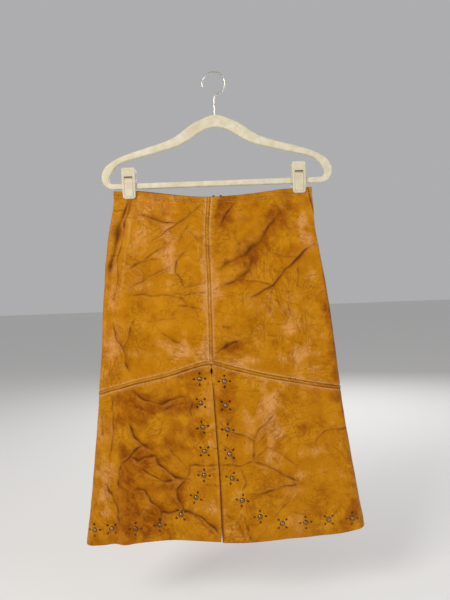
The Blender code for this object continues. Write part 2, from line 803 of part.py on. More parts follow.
def hook_points():
    """The wire's middle line: out of the socket, over to the right and round the bowl."""
    centre_z = -(HOOK_RADIUS - WIRE_RADIUS)
    foot = -OUTER_OUTLINE[0][1] * MM - SOCKET_DEPTH + GAP
    start = math.radians(HOOK_START)
    end = math.radians(HOOK_END)
    joined = Vector((HOOK_RADIUS * math.cos(start), 0, centre_z + HOOK_RADIUS * math.sin(start)))
    leave = Vector((-math.sin(start), 0, math.cos(start)))
    points = [Vector((0, 0, foot)), Vector((0, 0, (foot + NECK_TOP) / 2))]
    for step in range(9):
        t = step / 8
        a = Vector((0, 0, NECK_TOP)) * (1 - t) ** 3
        b = Vector((0, 0, NECK_TOP + 8 * MM)) * 3 * t * (1 - t) ** 2
        c = (joined - leave * 6 * MM) * 3 * t**2 * (1 - t)
        points.append(a + b + c + joined * t**3)
    for step in range(1, 23):
        angle = start + (end - start) * step / 22
        points.append(Vector((math.cos(angle), 0, math.sin(angle))) * HOOK_RADIUS)
        points[-1].z += centre_z
    return points


def hanger_hook(made_of):
    curve = bpy.data.curves.new("hanger_hook", "CURVE")
    curve.dimensions = "3D"
    curve.bevel_depth = WIRE_RADIUS
    curve.bevel_resolution = 2
    curve.use_fill_caps = True
    spline = curve.splines.new("POLY")
    points = hook_points()
    spline.points.add(len(points) - 1)
    for slot, point in zip(spline.points, points):
        slot.co = (*point, 1.0)
    curve.materials.append(made_of)
    made = bpy.data.objects.new("hanger_hook", curve)
    bpy.data.collections[COLLECTION].objects.link(made)
    return made


# ---------------------------------------------------------------- clips
def clip_jaw(name, middle_x, facing, made_of):
    """One jaw, facing -1 in front of the bar and +1 behind it."""

    def place(aside, row, face):
        at = {key: values[row.astype(int)] * MM for key, values in JAW_AT.items()}
        y = facing * np.where(face, at["outer"], at["inner"])
        return np.stack((middle_x + aside * at["half_width"], y, -at["down"]), axis=-1)

    jaw = shell(name, (-1, 0, 1), range(len(JAW)), place, made_of)
    soften = jaw.modifiers.new("soft edges", "BEVEL")
    soften.width = 0.9 * MM
    soften.segments = 1
    soften.limit_method = "ANGLE"
    soften.angle_limit = math.radians(40)
    return jaw


def clip_spring(name, middle_x, made_of):
    """A bent steel strip over the bar, pressing the tops of the two jaws apart."""
    clear = GAP + SPRING_THICKNESS / 2
    bend, foot = 1, 2
    bend_half, foot_half = (JAW_AT["inner"][row] * MM - clear for row in (bend, foot))
    bend_z, foot_z = (-JAW_AT["down"][row] * MM for row in (bend, foot))
    top_half, top_z = bend_half - SPRING_RISE, bend_z + SPRING_RISE
    profile = [(-foot_half, foot_z), (-bend_half, bend_z), (-top_half, top_z)]
    profile += [(-y, z) for y, z in reversed(profile)]
    bm = bmesh.new()
    verts = [bm.verts.new((middle_x - SPRING_HALF_WIDTH, y, z)) for y, z in profile]
    edges = [bm.edges.new(pair) for pair in zip(verts, verts[1:])]
    swept = bmesh.ops.extrude_edge_only(bm, edges=edges)
    for item in swept["geom"]:
        if isinstance(item, bmesh.types.BMVert):
            item.co.x = middle_x + SPRING_HALF_WIDTH
    bmesh.ops.recalc_face_normals(bm, faces=bm.faces[:])
    mesh = bpy.data.meshes.new(name)
    bm.to_mesh(mesh)
    bm.free()
    mesh.materials.append(made_of)
    spring = bpy.data.objects.new(name, mesh)
    bpy.data.collections[COLLECTION].objects.link(spring)
    wall = spring.modifiers.new("strip", "SOLIDIFY")
    wall.thickness = SPRING_THICKNESS
    wall.offset = 0.0
    wall.use_even_offset = True
    return spring


# ---------------------------------------------------------------- the whole object
def build():
    clear_scene()
    new_collection(COLLECTION)
    new_collection("cutters")
    hide = material("tan leather", (0.48, 0.22, 0.035), 0.45, 0.0)
    metal = material("aged brass", (0.32, 0.25, 0.15), 0.35, 1.0)
    plastic = material("ivory plastic", (0.70, 0.66, 0.46), 0.45, 0.0)
    steel = material("steel", (0.62, 0.60, 0.56), 0.3, 1.0)
    cotton = material("brown zip tape", (0.16, 0.08, 0.03), 0.9, 0.0)

    panels = []
    for side, word in ((-1, "left"), (1, "right")):
        panels.append(front_panel(f"front_hip_{word}", side, 0, 1, HIP_ROWS, hide))
        panels.append(front_panel(f"front_hem_{word}", side, 1, 2, HEM_ROWS, hide))
        panels.append(back_panel(f"back_{word}", side, hide))
        yoke_welt(f"welt_yoke_{word}", side, hide)
    front_welt(hide)

    graph = bpy.context.evaluated_depsgraph_get()
    trees = [BVHTree.FromObject(panel, graph) for panel in panels]
    stud = stud_mesh(metal)
    front_studs(stud, trees)
    back_studs(stud, trees)

    for side, word in ((-1, "left"), (1, "right")):
        zip_tape(f"zip_tape_{word}", side, cotton)
    zip_slider(metal)
    zip_pull(metal)
    waist_fastening("waist_hook", -1, metal)
    waist_fastening("waist_eye", 1, metal)

    hanger_frame(plastic)
    hanger_hook(steel)
    for middle_x, word in ((CLIP_LEFT_X, "left"), (CLIP_RIGHT_X, "right")):
        clip_jaw(f"clip_{word}_front_jaw", middle_x, -1, plastic)
        clip_jaw(f"clip_{word}_rear_jaw", middle_x, 1, plastic)
        clip_spring(f"clip_{word}_spring", middle_x, steel)


build()
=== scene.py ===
"""A studded leather midi skirt on a clip hanger: the finish of every surface.

Metres, +Z up, front towards -Y, the origin at the inside crown of the hook.  Sizes inside the
sections are millimetres unless they say otherwise.
"""

import math

import bmesh
import bpy
import numpy as np
from mathutils import Matrix, Vector


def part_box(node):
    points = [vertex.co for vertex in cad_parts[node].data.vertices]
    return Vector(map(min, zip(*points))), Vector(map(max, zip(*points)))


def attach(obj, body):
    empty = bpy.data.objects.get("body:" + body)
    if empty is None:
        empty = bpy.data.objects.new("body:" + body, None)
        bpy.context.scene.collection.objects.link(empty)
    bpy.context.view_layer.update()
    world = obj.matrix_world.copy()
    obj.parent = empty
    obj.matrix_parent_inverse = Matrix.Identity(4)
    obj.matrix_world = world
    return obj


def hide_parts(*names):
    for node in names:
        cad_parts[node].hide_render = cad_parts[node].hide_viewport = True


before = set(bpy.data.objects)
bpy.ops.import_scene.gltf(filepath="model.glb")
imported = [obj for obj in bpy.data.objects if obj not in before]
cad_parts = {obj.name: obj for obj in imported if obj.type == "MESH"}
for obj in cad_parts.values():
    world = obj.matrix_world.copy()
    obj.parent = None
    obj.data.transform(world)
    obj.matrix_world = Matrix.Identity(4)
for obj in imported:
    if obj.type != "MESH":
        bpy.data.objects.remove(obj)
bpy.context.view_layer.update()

# ---------------------------------------------------------------- the hang of the skirt
# The skirt is a tube of soft leather, pinched flat by two clips at the waist and falling open
# towards the hem.  A point of it is named by its arc round the tube, from the middle of the
# front going right, and by its depth below the hook.
MM = 0.001
LEATHER = 1.3
HALF_GAP = 0.15


def columns_of(names, rows):
    """A table as one array for each named column."""
    return {name: np.array([row[place] for row in rows], float) for place, name in enumerate(names)}


BODY = columns_of(
    ("down", "centre", "half_width", "bow", "roll", "yaw"),
    (
        (222, -9.5, 192.5, 8.0, 3.0, 0.000),
        (245, -9.5, 193.0, 9.0, 3.0, 0.000),
        (270, -11.0, 196.0, 10.5, 3.5, 0.000),
        (300, -13.2, 199.6, 13.0, 4.5, 0.002),
        (340, -13.3, 205.2, 16.0, 6.0, 0.004),
        (400, -11.8, 213.2, 19.5, 8.0, 0.006),
        (460, -10.6, 219.8, 22.5, 10.0, 0.008),
        (520, -9.0, 225.0, 25.0, 11.0, 0.012),
        (600, -9.4, 232.5, 27.0, 12.0, 0.018),
        (680, -8.0, 240.3, 28.0, 13.0, 0.026),
        (760, -6.4, 250.5, 29.0, 14.0, 0.034),
        (830, -5.6, 260.0, 30.0, 15.0, 0.040),
        (880, -4.8, 267.5, 30.5, 16.0, 0.044),
        (903, -4.6, 270.5, 30.5, 16.0, 0.046),
    ),
)
SEAMS = columns_of(
    ("down", "front", "right", "back", "left"),
    (
        (222, -7.5, -9.0, -8.7, -8.0),
        (250, -8.0, -6.0, -8.5, -8.0),
        (290, -9.0, 0.0, -8.0, -8.0),
        (400, -10.0, 2.0, -7.0, -8.0),
        (563, -14.2, 3.0, -5.0, -8.0),
        (680, -13.0, 3.0, -5.0, -8.0),
        (790, -11.0, 3.0, -4.5, -7.0),
        (903, -11.0, 3.0, -4.0, -6.0),
    ),
)
FOLD_DEPTHS = np.array((250, 360, 620, 900), float)
# Side, place across at those depths, height of the ridge (+) or valley (-), half-width.
FOLDS = (
    ("front", (-161, -172, -186, -195), (2.0, 4.5, 4.0, 5.0), 15),
    ("front", (-174, -189, -209, -214), (-1.0, -3.5, -4.0, -5.0), 13),
    ("front", (28, 34, 40, 46), (0.0, 1.0, 2.0, 7.0), 62),
    ("front", (-70, -80, -95, -105), (0.0, 0.0, -3.0, -12.0), 60),
    ("front", (150, 156, 170, 186), (1.0, 2.5, 1.0, -3.0), 26),
    ("back", (-120, -128, -140, -152), (0.0, 2.0, 3.0, 7.0), 38),
    ("back", (30, 36, 48, 60), (0.0, 0.0, 2.0, -7.0), 46),
    ("back", (140, 150, 160, 172), (0.5, 2.5, 3.0, 6.0), 30),
)
# A clip grips this far to each side of its middle and this far down, and its pinch then fades.
CLIP_MIDDLES = {"left": -171.3, "right": 159.2}
GRIP_REACH = 13.6
GRIP_FADE = 24.0
GRIP_DOWN = 244.0
GRIP_FADE_DOWN = 96.0
PINCHED_HALF = 1.1
PINCHED_ROUNDNESS = 0.6
BOW_ROUNDNESS = 1.3


def smooth(value, keys, values):
    """A smooth curve through a table's values, level beyond its ends."""
    slopes = np.gradient(values, keys)
    x = np.clip(value, keys[0], keys[-1])
    i = np.clip(np.searchsorted(keys, x, side="right") - 1, 0, len(keys) - 2)
    step = keys[i + 1] - keys[i]
    t = (x - keys[i]) / step
    start = (2 * t**3 - 3 * t**2 + 1) * values[i] + (t**3 - 2 * t**2 + t) * step * slopes[i]
    end = (3 * t**2 - 2 * t**3) * values[i + 1] + (t**3 - t**2) * step * slopes[i + 1]
    return start + end


def ease(value):
    """0 to 1 with level ends."""
    t = np.clip(value, 0.0, 1.0)
    return t * t * (3 - 2 * t)


def bell(value):
    """1 in the middle, falling off to nothing by about 2 on either side."""
    return np.exp(-(value**2))


def body(name, down):
    return smooth(down, BODY["down"], BODY[name])


def quarter_arc(down):
    roll = body("roll", down)
    return body("half_width", down) - roll + math.pi / 2 * roll


def seam(name, down):
    """Arc from the middle of the front to a seam, going right."""
    quarters = {"front": 0, "right": 1, "back": 2, "left": -1}
    return smooth(down, SEAMS["down"], SEAMS[name]) + quarters[name] * quarter_arc(down)


def grip(across, down):
    """How firmly a clip pinches the leather at a point, 0 to 1."""
    most = 0.0
    for clip in CLIP_MIDDLES.values():
        aside = np.abs(across + body("centre", down) - clip)
        most = np.maximum(most, 1 - ease((aside - GRIP_REACH) / GRIP_FADE))
    return most * (1 - ease((down - GRIP_DOWN) / GRIP_FADE_DOWN))


def folds(side, across, down):
    """How far the folds push one side out."""
    total = 0.0
    for fold_side, places, heights, half_width in FOLDS:
        if fold_side != side:
            continue
        middle = smooth(down, FOLD_DEPTHS, np.array(places, float))
        height = smooth(down, FOLD_DEPTHS, np.array(heights, float))
        total = total + height * bell((across - middle) / half_width)
    return total


def unroll(arc, down):
    """An arc as a distance across from the middle of its own side, and whether that is the back."""
    quarter = quarter_arc(down)
    turn = np.mod(arc + 2 * quarter, 4 * quarter) - 2 * quarter
    on_back = np.abs(turn) > quarter
    along = np.where(on_back, 2 * quarter - np.abs(turn), np.abs(turn))
    return np.where(turn < 0, -along, along), on_back


def tube_point(arc, down):
    """The middle of the leather before its creases, in metres."""
    place, on_back = unroll(arc, down)
    along = np.abs(place)
    roll = body("roll", down)
    straight = body("half_width", down) - roll
    angle = np.clip((along - straight) / roll, 0.0, math.pi / 2)
    across = np.sign(place) * (np.minimum(along, straight) + roll * np.sin(angle))
    cap = np.cos(angle)
    flat = np.clip(along / straight, 0.0, 1.0)
    bow = (body("bow", down) - roll) * (1 - flat**2) ** BOW_ROUNDNESS
    held = grip(across, down)
    pushed = np.where(on_back, folds("back", across, down), folds("front", across, down))
    out = (roll * cap + bow + pushed * cap) * (1 - held) + PINCHED_HALF * cap**PINCHED_ROUNDNESS * held
    y = np.where(on_back, out, -out) + body("yaw", down) * across
    return np.stack((across + body("centre", down), y, -down + 0 * across), axis=-1) * MM


def tube_normal(arc, down):
    along = tube_point(arc + 1.0, down) - tube_point(arc - 1.0, down)
    fall = tube_point(arc, down + 1.0) - tube_point(arc, down - 1.0)
    normal = np.cross(fall, along)
    return normal / np.linalg.norm(normal, axis=-1, keepdims=True)


# ---------------------------------------------------------------- the cut of the panels
# Six panels: two at the hip and two at the hem in front, parted by a chevron seam and, below
# it, by a slit, and two from waist to hem at the back, parted at the top by the zip.
WAIST_FRONT = 242.0
WAIST_BACK = 240.0
WAIST_RISE = (18.5, 14.0)
WAIST_REACH = 165.0
WAIST_DIP = 12.0
HEM_FOOT = 900.0
HEM = columns_of(
    ("share", "front_left", "front_right", "back_left", "back_right"),
    (
        (0.0, 0.5, -1.0, 1.0, 1.0),
        (0.4, 2.0, -2.0, 0.5, 1.0),
        (0.8, 0.5, -2.0, 1.0, 2.5),
        (1.0, 0.0, 7.0, 0.0, 7.0),
    ),
)
PEAK = 561.5
YOKE = columns_of(
    ("distance", "left", "right"),
    (
        (0, 0.0, 0.0),
        (14, 1.0, 2.6),
        (30, 4.6, 8.0),
        (46, 9.4, 12.4),
        (92, 22.2, 25.6),
        (118, 27.6, 32.0),
        (150, 34.0, 39.0),
        (182, 42.0, 46.0),
        (214, 50.4, 53.0),
        (262, 59.0, 61.0),
    ),
)
SLIT_TOP = 0.15
SLIT_HEM = 1.3
SLIT_WIDENS = 6
EYE = 1.9
EYE_DOWN = 577.0
EYE_REACH = 6.0
SLIT_LAP = 1.5
LAP_FROM_EYE = 12.0
LAP_GROWS = 30.0
LAP_PAST_HEM = 2.0
LAP_SHRINKS = 16.0
ZIP_LENGTH = 178.0
ZIP_HALF = 3.0
ZIP_FADE = 6.0


def waist(arc):
    """Depth of the waist edge at an arc."""
    quarter = quarter_arc(WAIST_FRONT)
    on_back = np.abs(arc) > quarter
    across = np.where(on_back, np.sign(arc) * (2 * quarter - np.abs(arc)), arc)
    middle = np.where(on_back, WAIST_BACK, WAIST_FRONT)
    reach = np.minimum(np.abs(across - WAIST_DIP) / WAIST_REACH, 1.0)
    rise = np.where(across < WAIST_DIP, *WAIST_RISE) - (WAIST_FRONT - middle)
    return middle - rise * reach**2 * (1.5 - 0.5 * reach**2)


def yoke(side, distance):
    """Depth of the chevron seam at a distance from the front seam."""
    return PEAK + smooth(distance, YOKE["distance"], YOKE["left" if side < 0 else "right"])


def hem(panel, share):
    return HEM_FOOT - smooth(share, HEM["share"], HEM[panel])


def slit_half(down):
    """Half the slit's opening: a small oval eye where it starts, then ever wider."""
    eye = EYE * np.sqrt(np.maximum(1 - ((down - EYE_DOWN) / EYE_REACH) ** 2, 0))
    fall = np.clip((down - PEAK) / (HEM_FOOT - PEAK), 0.0, 1.0)
    return SLIT_TOP + eye + (SLIT_HEM - SLIT_TOP) * fall**SLIT_WIDENS


def slit_lap(down):
    """How far the slit's left edge lies over its right one, from below the eye to the hem."""
    grown = ease((down - EYE_DOWN - LAP_FROM_EYE) / LAP_GROWS)
    return SLIT_LAP * grown * ease((HEM_FOOT + LAP_PAST_HEM - down) / LAP_SHRINKS)


def zip_half(down):
    closed = ease((down - WAIST_BACK - ZIP_LENGTH) / ZIP_FADE)
    return HALF_GAP + (ZIP_HALF - HALF_GAP) * (1 - closed)


class Panel:
    """One panel: its side (-1 left, 1 right), front or back, and which rows it covers.

    Rows run from 0 at the waist edge over 1 at the chevron's depth to 2 at the hem edge, and
    shares from 0 at the panel's middle seam to 1 at its side seam.
    """

    def __init__(self, name, side, back, first_row, last_row):
        self.name = name
        self.side = side
        self.back = back
        self.first_row = first_row
        self.last_row = last_row
        self.word = "left" if side < 0 else "right"
        # 1 where shares run to the right as the panel's outside is seen, -1 where to the left.
        self.hand = -side if back else side

    def edges(self, share):
        """Depths of the waist edge, the chevron and the hem edge at a share."""
        if self.back:
            top = waist(self.side * (2 - share) * quarter_arc(WAIST_FRONT))
            reach = quarter_arc(PEAK)
            middle = (yoke(-1, reach) + yoke(1, reach)) / 2
            turn = middle + (yoke(self.side, reach) - middle) * share
        else:
            top = waist(self.side * share * quarter_arc(WAIST_FRONT))
            turn = yoke(self.side, share * quarter_arc(PEAK))
        return top, turn, hem(("back_" if self.back else "front_") + self.word, share)

    def level(self, share, row):
        top, turn, foot = self.edges(share)
        above = top + (turn - top) * np.clip(row, 0.0, 1.0)
        return above + (foot - turn) * np.clip(row - 1, 0.0, 1.0)

    def ends(self, down, row):
        """Arcs of the panel's middle edge and of its side edge."""
        middle_depth = self.level(0.0, row)
        if self.back:
            middle = seam("back", down) - (4 * quarter_arc(down) if self.side < 0 else 0)
            middle = middle - self.side * zip_half(middle_depth)
            return middle, seam(self.word, down) + self.side * HALF_GAP
        gap = slit_half(middle_depth) if self.first_row else HALF_GAP
        if self.first_row and self.side < 0:
            gap = gap - slit_lap(middle_depth)
        return seam("front", down) + self.side * gap, seam(self.word, down) - self.side * HALF_GAP

    def arc(self, share, row):
        down = self.level(share, row)
        middle, edge = self.ends(down, row)
        return middle + (edge - middle) * share, down

    def place_of(self, arc, down):
        """Share and row of a point that is given by arc and depth."""
        share, row = 0.5 + 0 * arc, 1.5 + 0 * down
        for _ in range(3):
            middle, edge = self.ends(down, row)
            share = (arc - middle) / (edge - middle)
            top, turn, foot = self.edges(share)
            above, below = (down - top) / (turn - top), 1 + (down - turn) / (foot - turn)
            row = np.where(down < turn, above, below)
        return share, row


PANELS = [
    Panel("front_hip_left", -1, False, 0, 1),
    Panel("front_hip_right", 1, False, 0, 1),
    Panel("front_hem_left", -1, False, 1, 2),
    Panel("front_hem_right", 1, False, 1, 2),
    Panel("back_left", -1, True, 0, 2),
    Panel("back_right", 1, True, 0, 2),
]

# ---------------------------------------------------------------- where the studs sit
# Domed studs run down both sides of the slit, turn out and follow the hem all round.  Four
# small petals are punched round each, upright and slanting in turn.
STUD_NAMES = [f"stud_front_left_{n}" for n in range(1, 12)]
STUD_NAMES += [f"stud_front_right_{n}" for n in range(1, 12)]
STUD_NAMES += [f"stud_back_{n}" for n in range(1, 13)]
PETAL_TURNS = (0, 45, -12, 45, 3, 22, 55, 0, 5, 45, 0)
PETAL_TURNS += (0, 45, 5, 44, 20, 10, 0, 48, 0, 45, 3)
PETAL_TURNS += (0, 45, 8, 40, 0, 45, -6, 45, 4, 48, 0, 45)
PETAL_FROM_STUD = 10.6
PETAL_HALF_LENGTH = 2.0
PETAL_HALF_WIDTH = 1.3


def pattern_places(points):
    """Arcs and depths of points that lie on the outside of the skirt."""
    on_back = points[:, 1] > 0
    down = -points[:, 2] / MM
    across = points[:, 0] / MM - body("centre", down)
    arc = np.where(on_back, np.sign(across) * (2 * quarter_arc(down) - np.abs(across)), across)
    for _ in range(12):
        here = tube_point(arc, down)
        tangent = tube_point(arc + 0.5, down) - tube_point(arc - 0.5, down)
        fall = tube_point(arc, down + 0.5) - tube_point(arc, down - 0.5)
        missed = (points - here) / MM
        arc = arc + np.sum(missed * tangent, axis=1) / np.sum(tangent**2, axis=1) * MM
        down = down + np.sum(missed * fall, axis=1) / np.sum(fall**2, axis=1) * MM
    return arc, down


stud_boxes = np.array([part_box(name) for name in STUD_NAMES], float)
STUD_ARC, STUD_DOWN = pattern_places(stud_boxes.mean(axis=1))

# ---------------------------------------------------------------- creases and worn patches
# The hide was crumpled before it was waxed, so it carries sharp old creases, darkened by the wax
# and by painted shade, with a raised lip beside each, softer dents, and patches rubbed pale or
# left dark, some of which are painted light and painted shade over the folds.
MARKS = ("crease", "stain_and_shade", "lip", "tone", "groove", "pressed", "petal")
CREASE_MARGIN = 24
STUD_MARGIN = 20
STITCH_FROM_SEAM = 5.2
STITCH_FROM_WAIST = 12
FAR = 99.0

# Half-width, depth and darkness of each crease, then its line as (across, depth) points.
CREASES_FRONT = (
    (6.5, 3.2, 0.68, ((-164, 236), (-171, 262), (-177, 284), (-184, 312), (-193, 346), (-202, 390))),
    (2.6, 1.2, 0.7, ((-161, 240), (-164, 262), (-169, 290), (-172, 312))),
    (3.4, -2.4, 0.0, ((-154, 238), (-157, 262), (-160, 309), (-165, 340), (-175, 388), (-183, 440))),
    (2.6, 1.4, 1.0, ((198, 338), (165, 365), (138, 389), (111, 419), (92, 429), (66, 440))),
    (2.4, 1.0, 0.45, ((111, 419), (84, 409), (59, 406), (42, 408))),
    (2.2, 0.8, 0.4, ((165, 365), (133, 361), (108, 356))),
    (2.2, 0.7, 0.35, ((165, 367), (161, 398), (155, 427))),
    (2.2, 0.8, 0.35, ((111, 419), (107, 441), (101, 470))),
    (2.2, 0.8, 0.4, ((114, 423), (124, 459), (137, 483))),
    (2.2, 0.7, 0.35, ((140, 431), (141, 471), (130, 491), (99, 493))),
    (7, 1.1, 0.6, ((130, 279), (109, 308), (89, 335), (63, 355), (10, 382))),
    (6, 0.9, 0.55, ((76, 361), (64, 389), (42, 408), (14, 417))),
    (4, 0.8, 0.8, ((40, 260), (30, 277), (17, 300))),
    (4, 0.7, 0.45, ((9, 495), (26, 496))),
    (5, 1.0, 0.8, ((41, 523), (15, 529), (0, 539))),
    (2.2, 0.6, 0.3, ((86, 513), (125, 518), (162, 531))),
    (2.2, 0.6, 0.3, ((157, 466), (176, 479), (192, 487))),
    (2.2, 0.7, 0.4, ((43, 319), (55, 338))),
    (2.3, 1.2, 0.75, ((-143, 272), (-114, 280), (-91, 288), (-65, 293))),
    (2.3, 1.1, 0.6, ((-23, 259), (-41, 274), (-65, 294), (-88, 308), (-115, 320))),
    (2.1, 0.7, 0.4, ((-46, 296), (-54, 311), (-65, 332))),
    (2.1, 0.7, 0.4, ((-47, 303), (-31, 318), (-19, 333))),
    (2.3, 0.9, 0.5, ((-94, 338), (-109, 343), (-124, 354), (-141, 366), (-166, 375))),
    (2.2, 0.8, 0.4, ((-98, 357), (-124, 361), (-150, 369))),
    (2.3, 1.1, 0.65, ((-55, 348), (-70, 366), (-73, 384), (-64, 401), (-59, 420))),
    (2.3, 0.9, 0.45, ((-166, 413), (-132, 399), (-97, 380), (-79, 371))),
    (2.2, 0.8, 0.4, ((-82, 426), (-60, 432), (-15, 424))),
    (2.2, 0.7, 0.35, ((-59, 419), (-17, 408))),
    (2.3, 0.9, 0.5, ((-172, 425), (-128, 430), (-88, 428), (-62, 440), (-53, 451))),
    (2.1, 0.8, 0.5, ((-74, 451), (-30, 455))),
    (2.1, 0.5, 0.25, ((-139, 478), (-74, 476))),
    (2.2, 0.8, 0.45, ((-108, 498), (-87, 513), (-61, 531))),
    (2.4, 1.3, 0.7, ((-203, 475), (-196, 504), (-182, 529), (-177, 553), (-171, 571))),
    (2.2, 0.9, 0.45, ((-156, 475), (-171, 507), (-182, 529))),
    (2.4, 1.0, 0.5, ((-172, 312), (-183, 351), (-185, 385), (-196, 436))),
    (2.2, 0.8, 0.6, ((-202, 348), (-185, 349))),
    (2.8, 1.6, 1.0, ((-177, 670), (-169, 689), (-158, 707), (-143, 722))),
    (2.9, 1.8, 1.0, ((-143, 713), (-162, 717), (-178, 733), (-195, 747))),
    (2.6, 1.2, 0.7, ((-195, 747), (-201, 760), (-200, 791))),
    (2.9, 1.8, 1.0, ((-178, 733), (-164, 745), (-149, 737), (-130, 735))),
    (2.9, 1.8, 0.95, ((-130, 735), (-122, 750), (-109, 762), (-93, 777), (-71, 782))),
    (2.6, 1.3, 0.8, ((-157, 759), (-138, 772), (-117, 782), (-93, 783))),
    (2.5, 1.3, 0.65, ((-71, 782), (-66, 768), (-67, 755), (-57, 753), (-16, 755))),
    (2.8, 1.6, 0.9, ((-71, 782), (-93, 800), (-90, 818), (-80, 835), (-86, 848))),
    (2.7, 1.5, 0.8, ((-173, 794), (-153, 801), (-140, 822), (-122, 842))),
    (2.8, 1.5, 0.9, ((-132, 869), (-122, 844), (-107, 845), (-85, 839))),
    (2.8, 1.7, 0.9, ((-81, 836), (-61, 848), (-41, 858), (-21, 871), (-13, 884))),
    (2.4, 1.0, 0.5, ((-63, 848), (-43, 866), (-22, 886))),
    (2.6, 1.3, 0.7, ((-229, 784), (-216, 806), (-206, 836), (-202, 860))),
    (2.4, -1.0, 0.0, ((-133, 813), (-147, 828), (-163, 848))),
    (2.3, 0.9, 0.5, ((-110, 707), (-94, 734), (-70, 763))),
    (2.8, 1.3, 0.8, ((-166, 610), (-143, 629), (-112, 635), (-84, 627), (-61, 625))),
    (2.5, 1.1, 0.6, ((-61, 625), (-53, 637), (-58, 655), (-52, 666))),
    (2.4, 0.9, 0.6, ((-163, 642), (-143, 649))),
    (2.3, 0.8, 0.4, ((-126, 656), (-103, 644), (-64, 637))),
    (2.6, 1.1, 0.55, ((-207, 617), (-206, 665), (-212, 712), (-217, 744))),
    (2.4, 0.9, 0.5, ((-226, 654), (-230, 697))),
    (2.2, 0.7, 0.35, ((-57, 766), (-13, 762))),
    (2.2, 0.7, 0.35, ((-39, 790), (-11, 792))),
    (2.4, 1.1, 0.55, ((57, 748), (58, 710), (45, 705), (15, 690))),
    (2.4, 1.1, 0.5, ((58, 710), (75, 687), (93, 671), (106, 661))),
    (2.2, 0.8, 0.3, ((64, 715), (84, 700), (107, 690))),
    (2.5, 1.2, 0.6, ((57, 748), (84, 763), (115, 780), (148, 797))),
    (2.4, 1.1, 0.55, ((57, 749), (29, 756), (-9, 755))),
    (2.4, 1.1, 0.6, ((148, 798), (96, 806), (42, 813))),
    (2.3, 0.9, 0.45, ((32, 759), (39, 784), (33, 805))),
    (2.3, 0.8, 0.35, ((57, 747), (83, 726), (117, 745), (139, 765))),
    (2.5, 1.1, 0.5, ((261, 696), (198, 703), (182, 719), (178, 730))),
    (2.3, -1.0, 0.1, ((150, 730), (174, 736), (199, 737))),
    (2.2, 0.8, 0.45, ((-8, 669), (12, 694), (27, 703))),
    (2.2, 0.8, 0.45, ((-6, 707), (11, 729), (19, 749))),
    (2.4, 1.0, 0.5, ((31, 851), (42, 884), (48, 899))),
    (2.3, 0.9, 0.4, ((-2, 842), (23, 871), (33, 893))),
    (2.4, 0.9, 0.35, ((131, 819), (106, 844), (91, 858))),
    (2.3, 0.7, 0.3, ((122, 851), (161, 860))),
    (2.3, -0.8, 0.0, ((77, 834), (106, 827), (128, 805))),
)
CREASES_BACK = (
    (2.5, 1.5, 0.9, ((-187, 355), (-150, 372), (-118, 399), (-92, 410), (-60, 436))),
    (2.3, 1.0, 0.5, ((-118, 399), (-112, 436), (-97, 470))),
    (2.3, 0.9, 0.4, ((-92, 410), (-70, 402), (-38, 398))),
    (2.4, 1.2, 0.7, ((170, 300), (139, 322), (112, 330), (76, 356))),
    (2.3, 0.9, 0.5, ((112, 330), (96, 318), (66, 312))),
    (2.4, 1.1, 0.6, ((196, 430), (150, 442), (121, 462), (90, 466))),
    (2.2, 0.8, 0.4, ((121, 462), (128, 490), (117, 521))),
    (6.0, 1.8, 0.5, ((-140, 290), (-112, 330), (-80, 352))),
    (2.6, 1.4, 0.8, ((-201, 600), (-170, 622), (-140, 628), (-108, 655), (-90, 690))),
    (2.4, 1.1, 0.6, ((-108, 655), (-76, 648), (-42, 652))),
    (2.6, 1.5, 0.9, ((60, 640), (92, 668), (101, 700), (140, 722), (166, 760))),
    (2.5, 1.2, 0.7, ((101, 700), (72, 716), (50, 748))),
    (2.5, 1.3, 0.7, ((140, 722), (180, 712), (214, 690))),
    (2.7, 1.5, 0.9, ((-150, 760), (-128, 782), (-131, 812), (-100, 836), (-72, 838))),
    (2.4, 1.1, 0.6, ((-131, 812), (-160, 826), (-182, 851))),
    (2.4, 1.0, 0.5, ((20, 800), (48, 816), (82, 812), (117, 838))),
    (2.3, 0.9, 0.4, ((196, 800), (182, 832), (190, 866))),
    (2.3, 0.8, 0.4, ((-60, 520), (-34, 528), (-16, 526))),
    (2.3, 0.8, 0.4, ((20, 560), (52, 552), (90, 566))),
)
# Across, depth, reach across, reach down, and how pale (+) or dark (-) the patch is.
# Some pale patches here are painted light on the lit side of folds; some dark ones are painted shade in
# fold valleys, down the right side where the skirt turns away, and beside the slit.
PATCHES_FRONT = (
    (-85, 335, 18, 75, 0.9),
    (-20, 400, 9, 160, 0.45),
    (2, 440, 7, 130, 0.3),
    (135, 470, 18, 42, 0.65),
    (188, 330, 12, 60, 0.4),
    (-198, 470, 20, 70, 0.8),
    (-55, 528, 62, 26, 0.4),
    (60, 560, 120, 16, 0.35),
    (150, 520, 60, 40, 0.3),
    (95, 670, 22, 75, 0.9),
    (110, 790, 42, 32, 0.35),
    (-232, 730, 24, 190, 1.1),
    (-22, 640, 9, 90, 0.9),
    (-24, 770, 7, 100, 0.4),
    (24, 266, 17, 32, -1.4),
    (122, 286, 18, 22, -1.7),
    (98, 322, 17, 22, -0.9),
    (66, 364, 30, 24, -1.0),
    (150, 262, 50, 26, -0.5),
    (24, 532, 26, 12, -1.4),
    (225, 430, 18, 170, -1.2),
    (173, 305, 8, 50, 0.7),
    (-152, 636, 30, 26, -1.2),
    (-100, 640, 46, 18, -0.7),
    (-182, 795, 20, 66, -1.1),
    (-150, 735, 24, 24, -0.9),
    (-84, 815, 16, 32, -0.6),
    (-165, 872, 40, 15, -0.5),
    (-176, 290, 10, 56, -0.9),
    (243, 770, 11, 125, -0.8),
    (14, 668, 16, 90, -0.9),
    (250, 620, 14, 60, -0.4),
)
